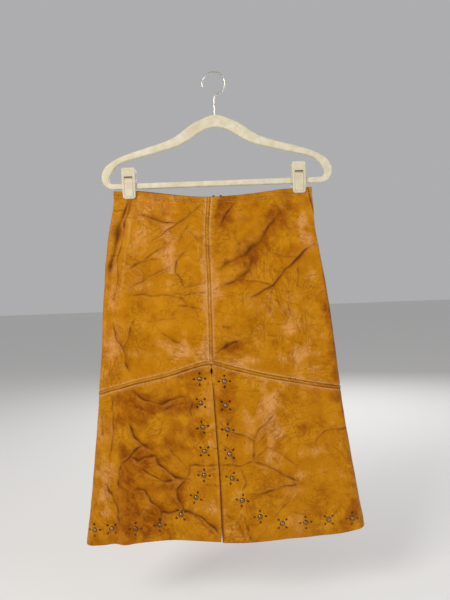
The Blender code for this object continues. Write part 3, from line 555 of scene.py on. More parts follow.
PATCHES_BACK = (
    (90, 350, 20, 60, 0.6),
    (-120, 450, 26, 60, 0.5),
    (-60, 620, 60, 24, 0.35),
    (130, 690, 30, 60, 0.7),
    (-210, 760, 20, 130, 0.45),
    (20, 820, 60, 30, 0.3),
    (-40, 290, 22, 30, -0.6),
    (60, 430, 34, 26, -0.35),
    (-150, 640, 30, 26, -0.6),
    (170, 800, 24, 50, -0.5),
    (-90, 790, 30, 40, -0.5),
    (190, 560, 16, 60, -0.3),
)


def from_line(across, down, points):
    """Signed distance of each point from a broken line, and how far along it (0 to 1) it lies."""
    ends = np.array(points, float)
    steps = np.hypot(*np.diff(ends, axis=0).T)
    starts = np.concatenate([[0.0], np.cumsum(steps)])
    nearest = np.full(across.shape, 1e9)
    signed, along = np.zeros_like(nearest), np.zeros_like(nearest)
    for number, length in enumerate(steps):
        a, b = ends[number], ends[number + 1]
        way = (b - a) / length
        t = np.clip((across - a[0]) * way[0] + (down - a[1]) * way[1], 0, length)
        dx = across - a[0] - t * way[0]
        dy = down - a[1] - t * way[1]
        distance = np.hypot(dx, dy)
        nearer = distance < nearest
        side = np.sign(way[0] * dy - way[1] * dx)
        nearest = np.where(nearer, distance, nearest)
        signed = np.where(nearer, distance * side, signed)
        along = np.where(nearer, (starts[number] + t) / starts[-1], along)
    return signed, along


def add_creases(height, marks, across, down, on_back):
    """Presses the old creases into the hide and marks them, with its pale and its dark patches."""
    # Crease lines waver, as if the hide had been a little askew when each was made.
    wavy = across + 1.5 * np.sin(down / 11 + 2.1 * np.sin(across / 29))
    wavy = wavy + 0.7 * np.sin(down / 4.7 + across / 6.1)
    deep = down + 1.5 * np.sin(across / 13 + 1.7 * np.sin(down / 23))
    deep = deep + 0.7 * np.sin(across / 5.3 - down / 7.9)
    dark, stain_and_shade, lip, tone = (marks[name] for name in ("crease", "stain_and_shade", "lip", "tone"))
    for creases, patches, back in (
        (CREASES_FRONT, PATCHES_FRONT, False),
        (CREASES_BACK, PATCHES_BACK, True),
    ):
        for half_width, depth, darkness, points in creases:
            low, high = np.min(points, axis=0), np.max(points, axis=0)
            near = on_back == back
            near &= (across > low[0] - CREASE_MARGIN) & (across < high[0] + CREASE_MARGIN)
            near &= (down > low[1] - CREASE_MARGIN) & (down < high[1] + CREASE_MARGIN)
            if not near.any():
                continue
            offset, along = from_line(wavy[near], deep[near], points)
            ends = 0.35 + 0.65 * ease(along / 0.15) * ease((1 - along) / 0.15)
            uneven = ends * (0.8 + 0.25 * np.sin(along * 17 + points[0][0]))
            width = half_width * (0.75 + 0.3 * np.sin(along * 11 + points[0][1]))
            valley = bell(offset / width)
            ridge = bell((offset - 1.9 * width) / (1.1 * width))
            flatter = 0.75 if half_width > 3 else 0.35
            height[near] += flatter * uneven * depth * (0.4 * ridge - valley)
            # The dark line down each crease and the soft halo round it are dark wax and painted shade.
            line = bell(offset / (0.6 * width))
            drawn = uneven * darkness * (1.2 * line + 0.3 * valley)
            dark[near] = np.maximum(dark[near], np.minimum(drawn, 1.0))
            halo = bell(offset / (2.2 * np.minimum(width, 4.0) + 2.0))
            stain_and_shade[near] = np.maximum(stain_and_shade[near], uneven * darkness**1.5 * halo)
            worn = 0.6 * ridge if depth > 0 else valley
            lip[near] = np.maximum(lip[near], uneven * min(abs(depth), 1.5) / 1.5 * worn)
        for middle, depth, reach, fall, strength in patches:
            spot = np.exp(-(((wavy - middle) / reach) ** 2) - ((deep - depth) / fall) ** 2)
            tone += np.where(on_back == back, strength * spot, 0.0)


def add_seams(height, marks, arc, across, down, on_back):
    """Lays the hide flat at its seams, waist and clips, and puckers it along the stitching."""
    from_front = arc - seam("front", down)
    chevron = np.where(from_front < 0, yoke(-1, np.abs(from_front)), yoke(1, np.abs(from_front)))
    front_seam = np.where((down < chevron) & ~on_back, np.abs(from_front), FAR)
    yoke_seam = np.where(on_back, FAR, np.abs(down - chevron))
    stitched = np.minimum(front_seam, yoke_seam)
    from_top = np.abs(down - waist(arc))
    free = 1 - grip(across, down)
    marks["tone"] += np.where(~on_back & (down > chevron) & (from_front < 0), -0.4, 0.0)
    height *= (1 - 0.75 * bell(stitched / 7)) * (1 - 0.7 * bell(from_top / 12))
    height *= free
    height -= 0.45 * bell((stitched - STITCH_FROM_SEAM) / 1.3)
    height -= 0.4 * bell((stitched - 2.8) / 0.9)

    # The thread gathers the hide into small puckers between the rows.
    run = np.where(front_seam < yoke_seam, down, across)
    pucker = np.sin(run * 0.93 + 2.1 * np.sin(run / 17)) * (0.6 + 0.4 * np.sin(run / 29))
    near_top = bell((from_top - 9) / 4.5)
    gathered = bell((stitched - 5.0) / 2.6) + near_top
    height += 0.28 * pucker * gathered * free
    marks["pressed"] += bell((stitched - STITCH_FROM_SEAM - 0.5) / 3.2) * (0.8 + 0.3 * pucker)
    # Painted shade: the grooves beside the corded seams, darkest under the chevron, the waist stitch
    # line and the troughs of the waist puckers are darkened.
    under_yoke = np.where((yoke_seam < 9) & (down > chevron), 1.0, 0.75)
    along_top = bell((from_top - STITCH_FROM_WAIST) / 1.2) * free
    for groove in (
        under_yoke * bell((stitched - 2.6) / 0.9),
        along_top * (0.5 + 0.4 * pucker),
        0.4 * near_top * np.clip(-pucker, 0, 1),
    ):
        marks["groove"] = np.maximum(marks["groove"], groove)


def add_studs(height, marks, across, down, on_back):
    """Draws the hide in under each stud, with a painted ring of patina and shade round it and painted
    shade round the rims of its punched petals.
    """
    dark, petal = marks["crease"], marks["petal"]
    stud_across, stud_on_back = unroll(STUD_ARC, STUD_DOWN)
    for x, z, stud_back, turn in zip(stud_across, STUD_DOWN, stud_on_back, PETAL_TURNS):
        near = (np.abs(across - x) < STUD_MARGIN) & (np.abs(down - z) < STUD_MARGIN)
        near &= on_back == stud_back
        if not near.any():
            continue
        dx, dz = across[near] - x, down[near] - z
        away = np.hypot(dx, dz)
        height[near] += 0.25 * bell((away - 9) / 3) - 0.8 * bell(away / 6)
        # A painted ring of shade, with some patina, where the stud meets the hide.
        dark[near] = np.maximum(dark[near], 0.55 * bell((away - 4.2) / 0.9))
        for quarter in range(4):
            angle = math.radians(turn + 90 * quarter)
            along = dx * math.cos(angle) + dz * math.sin(angle) - PETAL_FROM_STUD
            beside = dz * math.cos(angle) - dx * math.sin(angle)
            size = np.hypot(along / PETAL_HALF_LENGTH, beside / PETAL_HALF_WIDTH)
            # Painted shade round the rim of each punched petal.
            petal[near] = np.maximum(petal[near], bell((size - 0.9) / 0.35))
            height[near] -= 0.35 * bell((size - 1) / 0.8)


def relief(arc, down):
    """Height of the surface over the smooth tube, and the marks that its finish reads."""
    across, on_back = unroll(arc, down)
    height = 0.5 * np.sin(across / 23 + 1.3 * np.sin(down / 41)) * np.sin(down / 37 + 1)
    height += 0.3 * np.sin(across / 11 + 1.9 * np.sin(down / 27)) * np.sin(down / 15 + across / 40)
    marks = {name: np.zeros_like(height) for name in MARKS}
    add_creases(height, marks, across, down, on_back)
    add_seams(height, marks, arc, across, down, on_back)
    add_studs(height, marks, across, down, on_back)
    return height, marks


def hide_point(arc, down, out):
    """Points of the finished skirt, in metres, `out` millimetres over the leather's middle."""
    height = relief(arc, down)[0]
    return tube_point(arc, down) + tube_normal(arc, down) * ((out + height) * MM)[..., None]


# ---------------------------------------------------------------- waxed leather
# A tan hide, vegetable tanned, crumpled and waxed: golden where the wax is thick, rosy where it
# is rubbed, near black-brown in the creases with dark wax and painted shade, with a fine crackle
# and a soft shine; painted shade and painted light also lie over folds, seams, studs and edges.
TAN = (0.43, 0.152, 0.001)
GOLD = (0.53, 0.215, 0.005)
RUBBED_AND_LIT = (0.64, 0.295, 0.085)
ROSY = (0.60, 0.235, 0.055)
UMBER = (0.20, 0.040, 0.001)
RUSSET = (0.38, 0.115, 0.002)
STAINED_AND_SHADED = (0.24, 0.052, 0.001)
FRECKLED = (0.40, 0.125, 0.002)
WORN_AND_LIT_LIP = (0.66, 0.31, 0.06)
PRESSED = (0.66, 0.34, 0.11)
VEIN = (0.21, 0.050, 0.001)
CRACKLE = (0.25, 0.065, 0.002)
WRINKLE = (0.20, 0.045, 0.001)
DEEP_CREASE = (0.085, 0.016, 0.001)
SEAM_GROOVE = (0.085, 0.020, 0.002)
PUNCH_SHADE = (0.03, 0.008, 0.002)
# Each set of wrinkles: its lean in radians, its length for its width, and its fineness.
WRINKLES = ((0.15, 6.0, 95.0), (0.85, 6.0, 100.0), (-0.65, 5.0, 88.0), (1.5, 6.0, 90.0))
FLESH_DARK = (0.30, 0.165, 0.070)
FLESH_PALE = (0.42, 0.25, 0.12)


class Wire:
    """A shader socket that can be reckoned with like a number."""

    def __init__(self, finish, socket):
        self.finish = finish
        self.socket = socket

    def math(self, operation, *others, clamp=False):
        settings = {"operation": operation, "use_clamp": clamp}
        return self.finish.node("ShaderNodeMath", settings, dict(enumerate((self, *others))))

    def __add__(self, other):
        return self.math("ADD", other)

    __radd__ = __add__

    def __sub__(self, other):
        return self.math("SUBTRACT", other)

    def __rsub__(self, other):
        return self.finish.node("ShaderNodeMath", {"operation": "SUBTRACT"}, {0: other, 1: self})

    def __mul__(self, other):
        return self.math("MULTIPLY", other)

    __rmul__ = __mul__

    def clamp(self):
        return self.math("ADD", 0.0, clamp=True)

    def between(self, low, high):
        """0 below low, 1 above high, with level ends."""
        settings = {"interpolation_type": "SMOOTHSTEP"}
        return self.finish.node(
            "ShaderNodeMapRange", settings, {"Value": self, "From Min": low, "From Max": high}
        )


class Finish:
    """One material, with a Principled shader that its nodes feed."""

    def __init__(self, name, colour=(0.5, 0.5, 0.5), roughness=0.5, metallic=0.0):
        self.material = bpy.data.materials.new(name)
        self.material.use_nodes = True
        self.nodes = self.material.node_tree.nodes
        self.links = self.material.node_tree.links
        self.shader = self.nodes["Principled BSDF"]
        self.set("Base Color", colour)
        self.set("Roughness", roughness)
        self.set("Metallic", metallic)

    def feed(self, socket, value):
        """Links a wire to a socket, or sets the socket to a number, a vector or a colour."""
        if isinstance(value, Wire):
            self.links.new(value.socket, socket)
        elif socket.type == "RGBA":
            socket.default_value = (*value, 1.0)
        else:
            socket.default_value = value

    def set(self, name, value):
        self.feed(self.shader.inputs[name], value)

    def node(self, kind, settings=None, inputs=None, output=0):
        made = self.nodes.new(kind)
        for name, value in (settings or {}).items():
            setattr(made, name, value)
        for name, value in (inputs or {}).items():
            self.feed(made.inputs[name], value)
        return Wire(self, made.outputs[output])

    def place(self):
        return self.node("ShaderNodeTexCoord", output="Object")

    def mark(self, name):
        return self.node("ShaderNodeAttribute", {"attribute_name": name}, output="Fac")

    def noise(self, where, scale, detail=3.0, roughness=0.5, output=0):
        inputs = {"Vector": where, "Scale": scale, "Detail": detail, "Roughness": roughness}
        return self.node("ShaderNodeTexNoise", None, inputs, output)

    def cracks(self, where, scale, width):
        """Thin lines, 1 on the line, between cells of about 1 / scale metres."""
        edge = self.node(
            "ShaderNodeTexVoronoi", {"feature": "DISTANCE_TO_EDGE"}, {"Vector": where, "Scale": scale}
        )
        return 1 - edge.between(0.0, width)

    def blend(self, first, second, share):
        """Colour that goes from first to second."""
        made = self.nodes.new("ShaderNodeMix")
        made.data_type = "RGBA"
        for name, value in (("A", first), ("B", second), ("Factor", share)):
            self.feed(next(s for s in made.inputs if s.name == name and s.enabled), value)
        return Wire(self, next(s for s in made.outputs if s.enabled))

    def shifted(self, where, by, amount):
        """Places moved about by a noise, so that lines on them wander."""
        centred = self.node(
            "ShaderNodeVectorMath", {"operation": "SUBTRACT"}, {0: by, 1: (0.5, 0.5, 0.5)}
        )
        scaled = self.node("ShaderNodeVectorMath", {"operation": "SCALE"}, {0: centred, "Scale": amount})
        return self.node("ShaderNodeVectorMath", {"operation": "ADD"}, {0: where, 1: scaled})

    def turned(self, where, angles, stretch=(1, 1, 1), start=(0, 0, 0)):
        """Places turned first and then drawn out, for a pattern that runs one way."""
        inputs = {"Vector": where, "Location": start, "Rotation": angles, "Scale": stretch}
        return self.node("ShaderNodeMapping", {"vector_type": "TEXTURE"}, inputs)

    def bump(self, height, strength, distance=0.001):
        inputs = {"Height": height, "Strength": strength, "Distance": distance}
        self.set("Normal", self.node("ShaderNodeBump", None, inputs))


def leather_finish():
    leather = Finish("waxed_leather", roughness=0.45)
    leather.set("Specular IOR Level", 0.3)
    leather.set("Specular Tint", (1.0, 0.62, 0.14))
    where = leather.place()
    broad = leather.noise(where, 10.0, 3.0, 0.55)
    cloud = leather.noise(where, 34.0, 4.0, 0.6)
    rosy = leather.noise(leather.turned(where, (0.3, 0.2, 0.4), (1.0, 1.0, 1.4)), 17.0, 4.0, 0.6)
    fine = leather.noise(where, 230.0, 3.0, 0.6)
    wander = leather.shifted(where, leather.noise(where, 28.0, 3.0, 0.6, output="Color"), 0.03)
    veins = leather.cracks(wander, 30.0, 0.035) * cloud.between(0.42, 0.62)
    crackle = leather.cracks(wander, 95.0, 0.07) * broad.between(0.4, 0.65)
    # Thin lines run across the hide, some level and some slanting.
    wrinkles = 0.0
    for lean, drawn_out, size in WRINKLES:
        along = leather.turned(wander, (0, lean, 0), (drawn_out, 1.0, 1.0), (lean, 0, 0))
        ridge = leather.noise(along, size, 2.0, 0.5)
        line = 1 - (ridge - 0.5).math("ABSOLUTE").between(0.0, 0.05)
        spread = leather.noise(leather.turned(where, (0, lean, 0), (1, 1, 1), (lean, 2, 1)), 15.0)
        wrinkles = line * spread.between(0.52, 0.62) + wrinkles
    wrinkles = wrinkles.clamp()
    tone = leather.mark("tone") + (cloud - 0.5) * 2.3 + (broad - 0.5) * 2.3
    crease = leather.mark("crease")
    lip = leather.mark("lip")
    waxed = leather.blend(TAN, GOLD, cloud.between(0.3, 0.7))
    # Pale tone: rubbed hide, and painted light on the lit side of some folds.
    colour = leather.blend(waxed, RUBBED_AND_LIT, tone.between(0.15, 1.0))
    colour = leather.blend(colour, ROSY, rosy.between(0.55, 0.75) * 0.5)
    brushed = leather.noise(leather.turned(wander, (0.2, 0.9, 0.1), (2.2, 1.0, 1.0)), 75.0, 4.0, 0.7)
    # Dark tone: dark wax, and painted shade in fold valleys, down the right side and beside the slit.
    dark_wax_and_shade = leather.blend(UMBER, RUSSET, brushed.between(0.38, 0.62))
    colour = leather.blend(colour, dark_wax_and_shade, (0 - tone).between(0.1, 1.1) * 0.95)
    # Dark wax and painted shade in a halo round each crease.
    colour = leather.blend(colour, STAINED_AND_SHADED, leather.mark("stain_and_shade") * 0.8)
    colour = leather.blend(colour, FRECKLED, fine.between(0.45, 0.75) * 0.25)
    # Worn lips and edges, with painted highlights at the slit's flap and eye.
    colour = leather.blend(colour, WORN_AND_LIT_LIP, lip * 0.4)
    colour = leather.blend(colour, PRESSED, leather.mark("pressed") * 0.35)
    colour = leather.blend(colour, VEIN, veins * 0.42)
    colour = leather.blend(colour, CRACKLE, crackle * 0.25)
    colour = leather.blend(colour, WRINKLE, wrinkles * 0.42)
    # Dark wax and painted shade down the creases; the same mark also paints shade round the studs and
    # under the slit's flap, and darkens the sewn and turned edges.
    sunk = (crease * (0.6 + fine * 0.8)).clamp()
    colour = leather.blend(colour, DEEP_CREASE, sunk * 0.92)
    # Painted shade in the seam grooves, along the waist stitching and in the puckers.
    colour = leather.blend(colour, SEAM_GROOVE, leather.mark("groove") * 0.85)
    # Painted shade round the punched petals.
    colour = leather.blend(colour, PUNCH_SHADE, leather.mark("petal") * 0.85)
    leather.set("Base Color", colour)
    leather.set("Roughness", 0.40 + cloud * 0.18 + sunk * 0.12 - lip * 0.06)
    grain = leather.noise(where, 1500.0, 2.0, 0.6)
    height = fine * 0.4 + cloud * 0.4 - veins * 0.6 - crackle * 0.35 - wrinkles * 0.6 + grain * 0.25
    leather.bump(height, 0.55, 0.0007)
    return leather.material


def suede_finish():
    """The flesh side, which shows inside the skirt: matt, brushed and browner."""
    suede = Finish("flesh_side", roughness=0.95)
    where = suede.place()
    nap = suede.noise(where, 900.0, 2.0)
    cloud = suede.noise(where, 35.0, 3.0)
    colour = suede.blend(FLESH_DARK, FLESH_PALE, nap * 0.6 + cloud * 0.4)
    suede.set("Base Color", colour)
    suede.bump(nap, 0.5, 0.0005)
    return suede.material


LEATHER_MATERIAL = leather_finish()
SUEDE_MATERIAL = suede_finish()

# ---------------------------------------------------------------- the six panels
# Each panel is cut from 1.3 mm hide and punched with its petals while it lies flat.  Sewn up,
# its waist and hem are turned in, and its side and slit edges roll inwards a little.
HEM_TURN = 30.0
WAIST_TURN = 14.0
TURN_RADIUS = 0.95
TURN_TAKES_UP = TURN_RADIUS + LEATHER / 2
TAKEN_UP_OVER = 12
EDGE_ROLL = 0.9
EDGE_ROLL_REACH = 1.8
FLAP_LIFT = 2.1
FLAP_REACH = 16
PLATE_ACROSS = 250.0
PLATE_DOWN = 330.0
EDGE_STOPS = (0.0, 0.5, 1.1, 1.9)
FRONT_CELL = 1.8
BACK_CELL = 2.4
SHARP_EDGE = math.radians(50)


def stops(length, cell):
    """Distances along a length, a cell apart and closer at both ends."""
    inner = np.linspace(EDGE_STOPS[-1], length - EDGE_STOPS[-1], round(length / cell))
    return np.concatenate([EDGE_STOPS[:-1], inner, length - np.array(EDGE_STOPS[-2::-1])])


def turned(length):
    """Distances past a turned edge: round the turn, then along the inside."""
    bend = np.linspace(0, math.pi * TURN_RADIUS, 6)[1:]
    return np.concatenate([bend, np.linspace(bend[-1], length, 7)[1:]])


def thicken(bm, way):
    """Gives a sheet its thickness, one step along `way`, with its faces outwards."""
    wall = bmesh.ops.extrude_face_region(bm, geom=bm.faces[:], use_keep_orig=True)
    raised = [item for item in wall["geom"] if isinstance(item, bmesh.types.BMVert)]
    bmesh.ops.translate(bm, verts=raised, vec=way)
    bmesh.ops.recalc_face_normals(bm, faces=bm.faces[:])


def shade_slab(bm):
    """Smooth all over, but for the sharp edges of a slab that still lies flat."""
    for face in bm.faces:
        face.smooth = True
    for edge in bm.edges:
        edge.smooth = edge.calc_face_angle(0) < SHARP_EDGE


def blank(panel, cell):
    """The flat panel, with its thickness, in millimetres."""
    rows = (panel.last_row - panel.first_row) * PLATE_DOWN
    across = stops(PLATE_ACROSS, cell)
    down = stops(rows, cell)
    if panel.last_row == 2:
        down = np.concatenate([down, rows + turned(HEM_TURN)])
    if panel.first_row == 0:
        down = np.concatenate([-turned(WAIST_TURN)[::-1], down])
    columns, lines = len(across) - 1, len(down) - 1
    bm = bmesh.new()
    bmesh.ops.create_grid(bm, x_segments=columns, y_segments=lines, size=0.5)
    for vert in bm.verts:
        column, line = round((vert.co.x + 0.5) * columns), round((0.5 - vert.co.y) * lines)
        vert.co = (across[column], -down[line], -LEATHER / 2)
    thicken(bm, (0, 0, LEATHER))
    return bm


def new_piece(name, bm, *materials):
    mesh = bpy.data.meshes.new(name)
    bm.to_mesh(mesh)
    bm.free()
    for made_of in materials:
        mesh.materials.append(made_of)
    piece = bpy.data.objects.new(name, mesh)
    bpy.context.scene.collection.objects.link(piece)
    return piece


def places_of(mesh):
    places = np.empty(len(mesh.vertices) * 3)
    mesh.vertices.foreach_get("co", places)
    return places.reshape(-1, 3)


def put(mesh, places, marks=None):
    """Moves a mesh's points to their finished places and writes what the finish reads."""
    mesh.vertices.foreach_set("co", np.ascontiguousarray(places, np.float32).ravel())
    for name, values in (marks or {}).items():
        layer = mesh.attributes.new(name, "FLOAT", "POINT")
        layer.data.foreach_set("value", np.ascontiguousarray(values, np.float32))
    mesh.update()


def copies(template, matrices):
    """One bmesh with a copy of a template for each matrix."""
    bm = bmesh.new()
    for matrix in matrices:
        copy = template.copy()
        copy.transform(matrix)
        bm.from_mesh(copy)
        bpy.data.meshes.remove(copy)
    return bm


def template_of(bm):
    mesh = bpy.data.meshes.new("template")
    bm.to_mesh(mesh)
    bm.free()
    return mesh


def punches(panel):
    """Oval punches through a flat panel, four round each stud that it carries."""
    way = np.where(unroll(STUD_ARC, STUD_DOWN)[1], -1.0, 1.0)[:, None]
    angle = np.radians(np.array(PETAL_TURNS)[:, None] + np.array((0, 90, 180, 270)))
    arc = (STUD_ARC[:, None] + way * PETAL_FROM_STUD * np.cos(angle)).ravel()
    down = (STUD_DOWN[:, None] + PETAL_FROM_STUD * np.sin(angle)).ravel()
    turn = np.where(way > 0, angle, math.pi - angle).ravel()
    share, row = panel.place_of(arc, down)
    inside = (share > 0.02) & (share < 0.98) & (row > panel.first_row) & (row < panel.last_row)
    bm = bmesh.new()
    bmesh.ops.create_cone(bm, cap_ends=True, segments=14, radius1=1.0, radius2=1.0, depth=8 * LEATHER)
    oval = template_of(bm)
    size = Matrix.Diagonal((PETAL_HALF_LENGTH, PETAL_HALF_WIDTH, 1, 1))
    bm = copies(
        oval,
        [
            Matrix.Translation((x, z, 0)) @ Matrix.Rotation(a, 4, "Z") @ size
            for x, z, a in zip(arc[inside], down[inside], turn[inside])
        ],
    )
    places = np.array([vert.co for vert in bm.verts])
    share, row = panel.place_of(places[:, 0], places[:, 1])
    for vert, x, y in zip(bm.verts, share * PLATE_ACROSS, (panel.first_row - row) * PLATE_DOWN):
        vert.co.x, vert.co.y = x, y
    if panel.hand > 0:
        bmesh.ops.reverse_faces(bm, faces=bm.faces[:])
    return bm


def cut_away(piece, cutter):
    """Cuts one piece by another and removes the cutter."""
    cut = piece.modifiers.new("cut", "BOOLEAN")
    cut.operation = "DIFFERENCE"
    cut.solver = "EXACT"
    cut.object = cutter
    graph = bpy.context.evaluated_depsgraph_get()
    mesh = bpy.data.meshes.new_from_object(piece.evaluated_get(graph))
    piece.modifiers.clear()
    piece.data = mesh
    bpy.data.objects.remove(cutter)


def hang(panel, flat):
    """Finished places of a flat panel's points, and the marks that its finish reads."""
    share = np.clip(flat[:, 0] / PLATE_ACROSS, 0, 1)
    out = flat[:, 2]
    rows = panel.last_row - panel.first_row
    row = panel.first_row + np.clip(-flat[:, 1] / PLATE_DOWN, 0, rows)
    above = np.maximum(flat[:, 1], 0)
    below = np.maximum(-flat[:, 1] - rows * PLATE_DOWN, 0)
    top, turn, foot = panel.edges(share)
    down = panel.level(share, row)
    if panel.first_row == 0:
        down = down + TURN_TAKES_UP * ease(1 - (down - top) / TAKEN_UP_OVER)
    if panel.last_row == 2:
        down = down - TURN_TAKES_UP * ease(1 - (foot - down) / TAKEN_UP_OVER)
    if panel.last_row == 1:
        down = down - HALF_GAP * row
    if panel.first_row == 1:
        down = down + HALF_GAP * (2 - row)

    # Round the turned edge, and back along the inside.
    past = above + below
    way = np.where(above > 0, -1.0, 1.0)
    held = grip(unroll(panel.arc(share, row)[0], down)[0], down)
    radius = TURN_RADIUS * (1 - 0.85 * held)
    angle = np.clip(past / TURN_RADIUS, 0, math.pi)
    inside = np.maximum(past - math.pi * TURN_RADIUS, 0)
    shift = way * (radius * np.sin(angle) - inside)
    there = down + shift
    row_there = np.clip(row + shift / PLATE_DOWN, panel.first_row, panel.last_row)
    middle, edge = panel.ends(there, row_there)
    arc = middle + (edge - middle) * share
    height, marks = relief(arc, there)
    width = np.abs(edge - middle)
    from_edge = np.minimum(share, 1 - share) * width
    rolled = EDGE_ROLL * np.maximum(1 - from_edge / EDGE_ROLL_REACH, 0) ** 2 * (1 - held)
    inward = radius * (1 - np.cos(angle)) + rolled
    lap = slit_lap(there) / SLIT_LAP
    if panel.first_row and panel.side < 0:
        inward = inward - FLAP_LIFT * (ease(1 - share * width / FLAP_REACH) * lap)
    normal = tube_normal(arc, there)
    fall = tube_point(arc, there + 0.5) - tube_point(arc, there - 0.5)
    fall = fall / np.linalg.norm(fall, axis=1)[:, None]
    facing = np.cos(angle)[:, None] * normal + (way * np.sin(angle))[:, None] * fall
    places = tube_point(arc, there) + normal * ((height - inward) * MM)[:, None]
    places = places + facing * (out * MM)[:, None]
    for name in ("petal", "groove", "pressed"):
        marks[name] = np.where(past > 0, 0.0, marks[name])

    # Sewn and turned edges are darkened; the strip under the slit's flap carries a painted shadow, and
    # the flap's edge and the rim of the slit's eye carry painted highlights.
    from_slit = share * width if panel.first_row else np.full_like(share, FAR)
    dark = np.maximum(marks["crease"], 0.75 * np.where(from_slit < 4, 0.3, 1.0) * bell(from_edge / 1.1))
    dark = np.where(past > 0, np.maximum(dark, 0.6), dark)
    edge_wear = 0.5 * bell((from_edge - 3.5) / 1.8)
    # Painted highlight round the rim of the slit's eye.
    at_eye = 0.9 * np.exp(-((from_slit / 1.8) ** 2) - ((there - EYE_DOWN) / 8) ** 4)
    pale = np.maximum(marks["lip"], np.maximum(edge_wear, at_eye))
    # Painted shadow on the strip under the slit's lifted flap.
    if panel.first_row and panel.side > 0:
        dark = np.maximum(dark, 0.95 * (lap * bell((from_slit - 2.2) / 2.3)))
    # Painted highlight along the lifted edge of the slit's flap.
    if panel.first_row and panel.side < 0:
        pale = np.maximum(pale, 0.8 * bell((from_slit - 1.0) / 1.2))
    marks["crease"], marks["lip"] = dark, pale
    return places, marks


def cut_size(panel):
    """Width and length of the rectangle of hide that holds the flat cut, and the cut's area."""
    lines = np.linspace(panel.first_row, panel.last_row, 41)
    share, row = np.meshgrid(np.linspace(0, 1, 21), lines)
    points = tube_point(*panel.arc(share, row))
    width = np.linalg.norm(np.diff(points, axis=1), axis=2).sum(axis=1)
    length = np.linalg.norm(np.diff(points, axis=0), axis=2).sum(axis=0)
    length += (HEM_TURN * (panel.last_row == 2) + WAIST_TURN * (panel.first_row == 0)) * MM
    return float(width.max()), float(length.max()), float(width.mean() * length.mean())


for panel in PANELS:
    cell = (BACK_CELL if panel.back else FRONT_CELL) * 1
    hide = new_piece(f"leather_{panel.name}", blank(panel, cell), LEATHER_MATERIAL, SUEDE_MATERIAL)
    if panel.last_row == 2:
        cut_away(hide, new_piece("punches", punches(panel)))
    bm = bmesh.new()
    bm.from_mesh(hide.data)
    bmesh.ops.triangulate(bm, faces=[face for face in bm.faces if len(face.verts) > 4])
    shade_slab(bm)
    for face in bm.faces:
        face.material_index = 1 if face.normal.z < -0.5 else 0
    bm.to_mesh(hide.data)
    bm.free()
    put(hide.data, *hang(panel, places_of(hide.data)))
    if panel.hand < 0:
        hide.data.flip_normals()
    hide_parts(panel.name)
    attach(hide, "skirt_and_hanger")

# ---------------------------------------------------------------- raised seams
# The centre-front and chevron seams are corded: a narrow strip of the same hide stands up over
# each, rubbed pale along its top, with a row of stitches a little way off on either side.
WELT_HALF = 1.95
WELT_CROWN = 0.95
WELT_FOOT = 0.5
WELT_COLUMNS = 8
WELT_STEP = 2.0
WELT_INSET = 0.6


def welt(name, line, length):
    """A raised strip; line gives the arc, the depth and the way across at a distance along."""
    steps = round(length / WELT_STEP)
    bm = bmesh.new()
    bmesh.ops.create_grid(bm, x_segments=WELT_COLUMNS, y_segments=steps, size=0.5)
    thicken(bm, (0, 0, 1))
    shade_slab(bm)
    piece = new_piece(name, bm, LEATHER_MATERIAL)
    flat = places_of(piece.data)
    aside = flat[:, 0] * 2
    along = (flat[:, 1] + 0.5) * length
    crown = WELT_CROWN * np.sqrt(np.clip(1 - aside**2, 0, 1)) * (1 + 0.06 * np.sin(along / 5.1))
    out = LEATHER / 2 + np.where(flat[:, 2] > 0.5, crown - 0.1, -WELT_FOOT)
    arc, down = line(along, aside * (WELT_HALF + 0.2 * np.sin(along / 9.7)))
    height, marks = relief(arc, down)
    places = tube_point(arc, down) + tube_normal(arc, down) * ((out + height) * MM)[:, None]
    # Painted shade darkens the strip's flanks where they meet the hide.
    marks["groove"] = 0.6 * np.clip(np.abs(aside) - 0.72, 0, 1) / 0.28
    marks["pressed"] = 0.5 * bell(aside / 0.55) * (0.6 + 0.4 * np.sin(along / 8.3))
    put(piece.data, places, marks)
    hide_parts(name.replace("corded_", "welt_"))
    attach(piece, "skirt_and_hanger")
    return piece


def centre_line(along, aside):
    down = waist(0.0) + WELT_INSET + along
    return seam("front", down) + aside, down


def chevron_line(side, reach, length):
    """One arm of the chevron, `reach` across and `length` along."""

    def line(along, aside):
        distance = reach * along / length
        ahead = yoke(side, distance + 0.5) - yoke(side, np.maximum(distance - 0.5, 0))
        run = np.hypot(1.0, ahead)
        away = np.maximum(distance + aside * ahead / run, 0.05)
        down = yoke(side, distance) - aside / run
        return seam("front", down) + side * away, down

    return line


yoke_reach = {}
for side, word in ((-1, "left"), (1, "right")):
    side_seam_down = PEAK + 55
    reach = abs(float(seam(word, side_seam_down) - seam("front", side_seam_down))) - 0.4
    distance = np.linspace(0, reach, 60)
    length = float(np.hypot(np.diff(distance), np.diff(yoke(side, distance))).sum())
    chevron = welt(f"corded_yoke_{word}", chevron_line(side, reach, length), length)
    if side > 0:
        chevron.data.flip_normals()
    yoke_reach[side] = reach
centre = welt("corded_front_centre", centre_line, PEAK - WELT_INSET - float(waist(0.0)))
centre.data.flip_normals()

# ---------------------------------------------------------------- stitching
# Waxed linen thread, a shade lighter than the hide, about three stitches to a centimetre.  The
# rows run beside the raised seams, round the waist and round the zip.
STITCH_PITCH = 3.4
STITCH_HALF = 1.25
STITCH_RADIUS = 0.45
STITCH_LIFT = 0.06
STITCH_SUNK_AT_WAIST = 0.32
STITCH_FROM_ZIP = 9.0


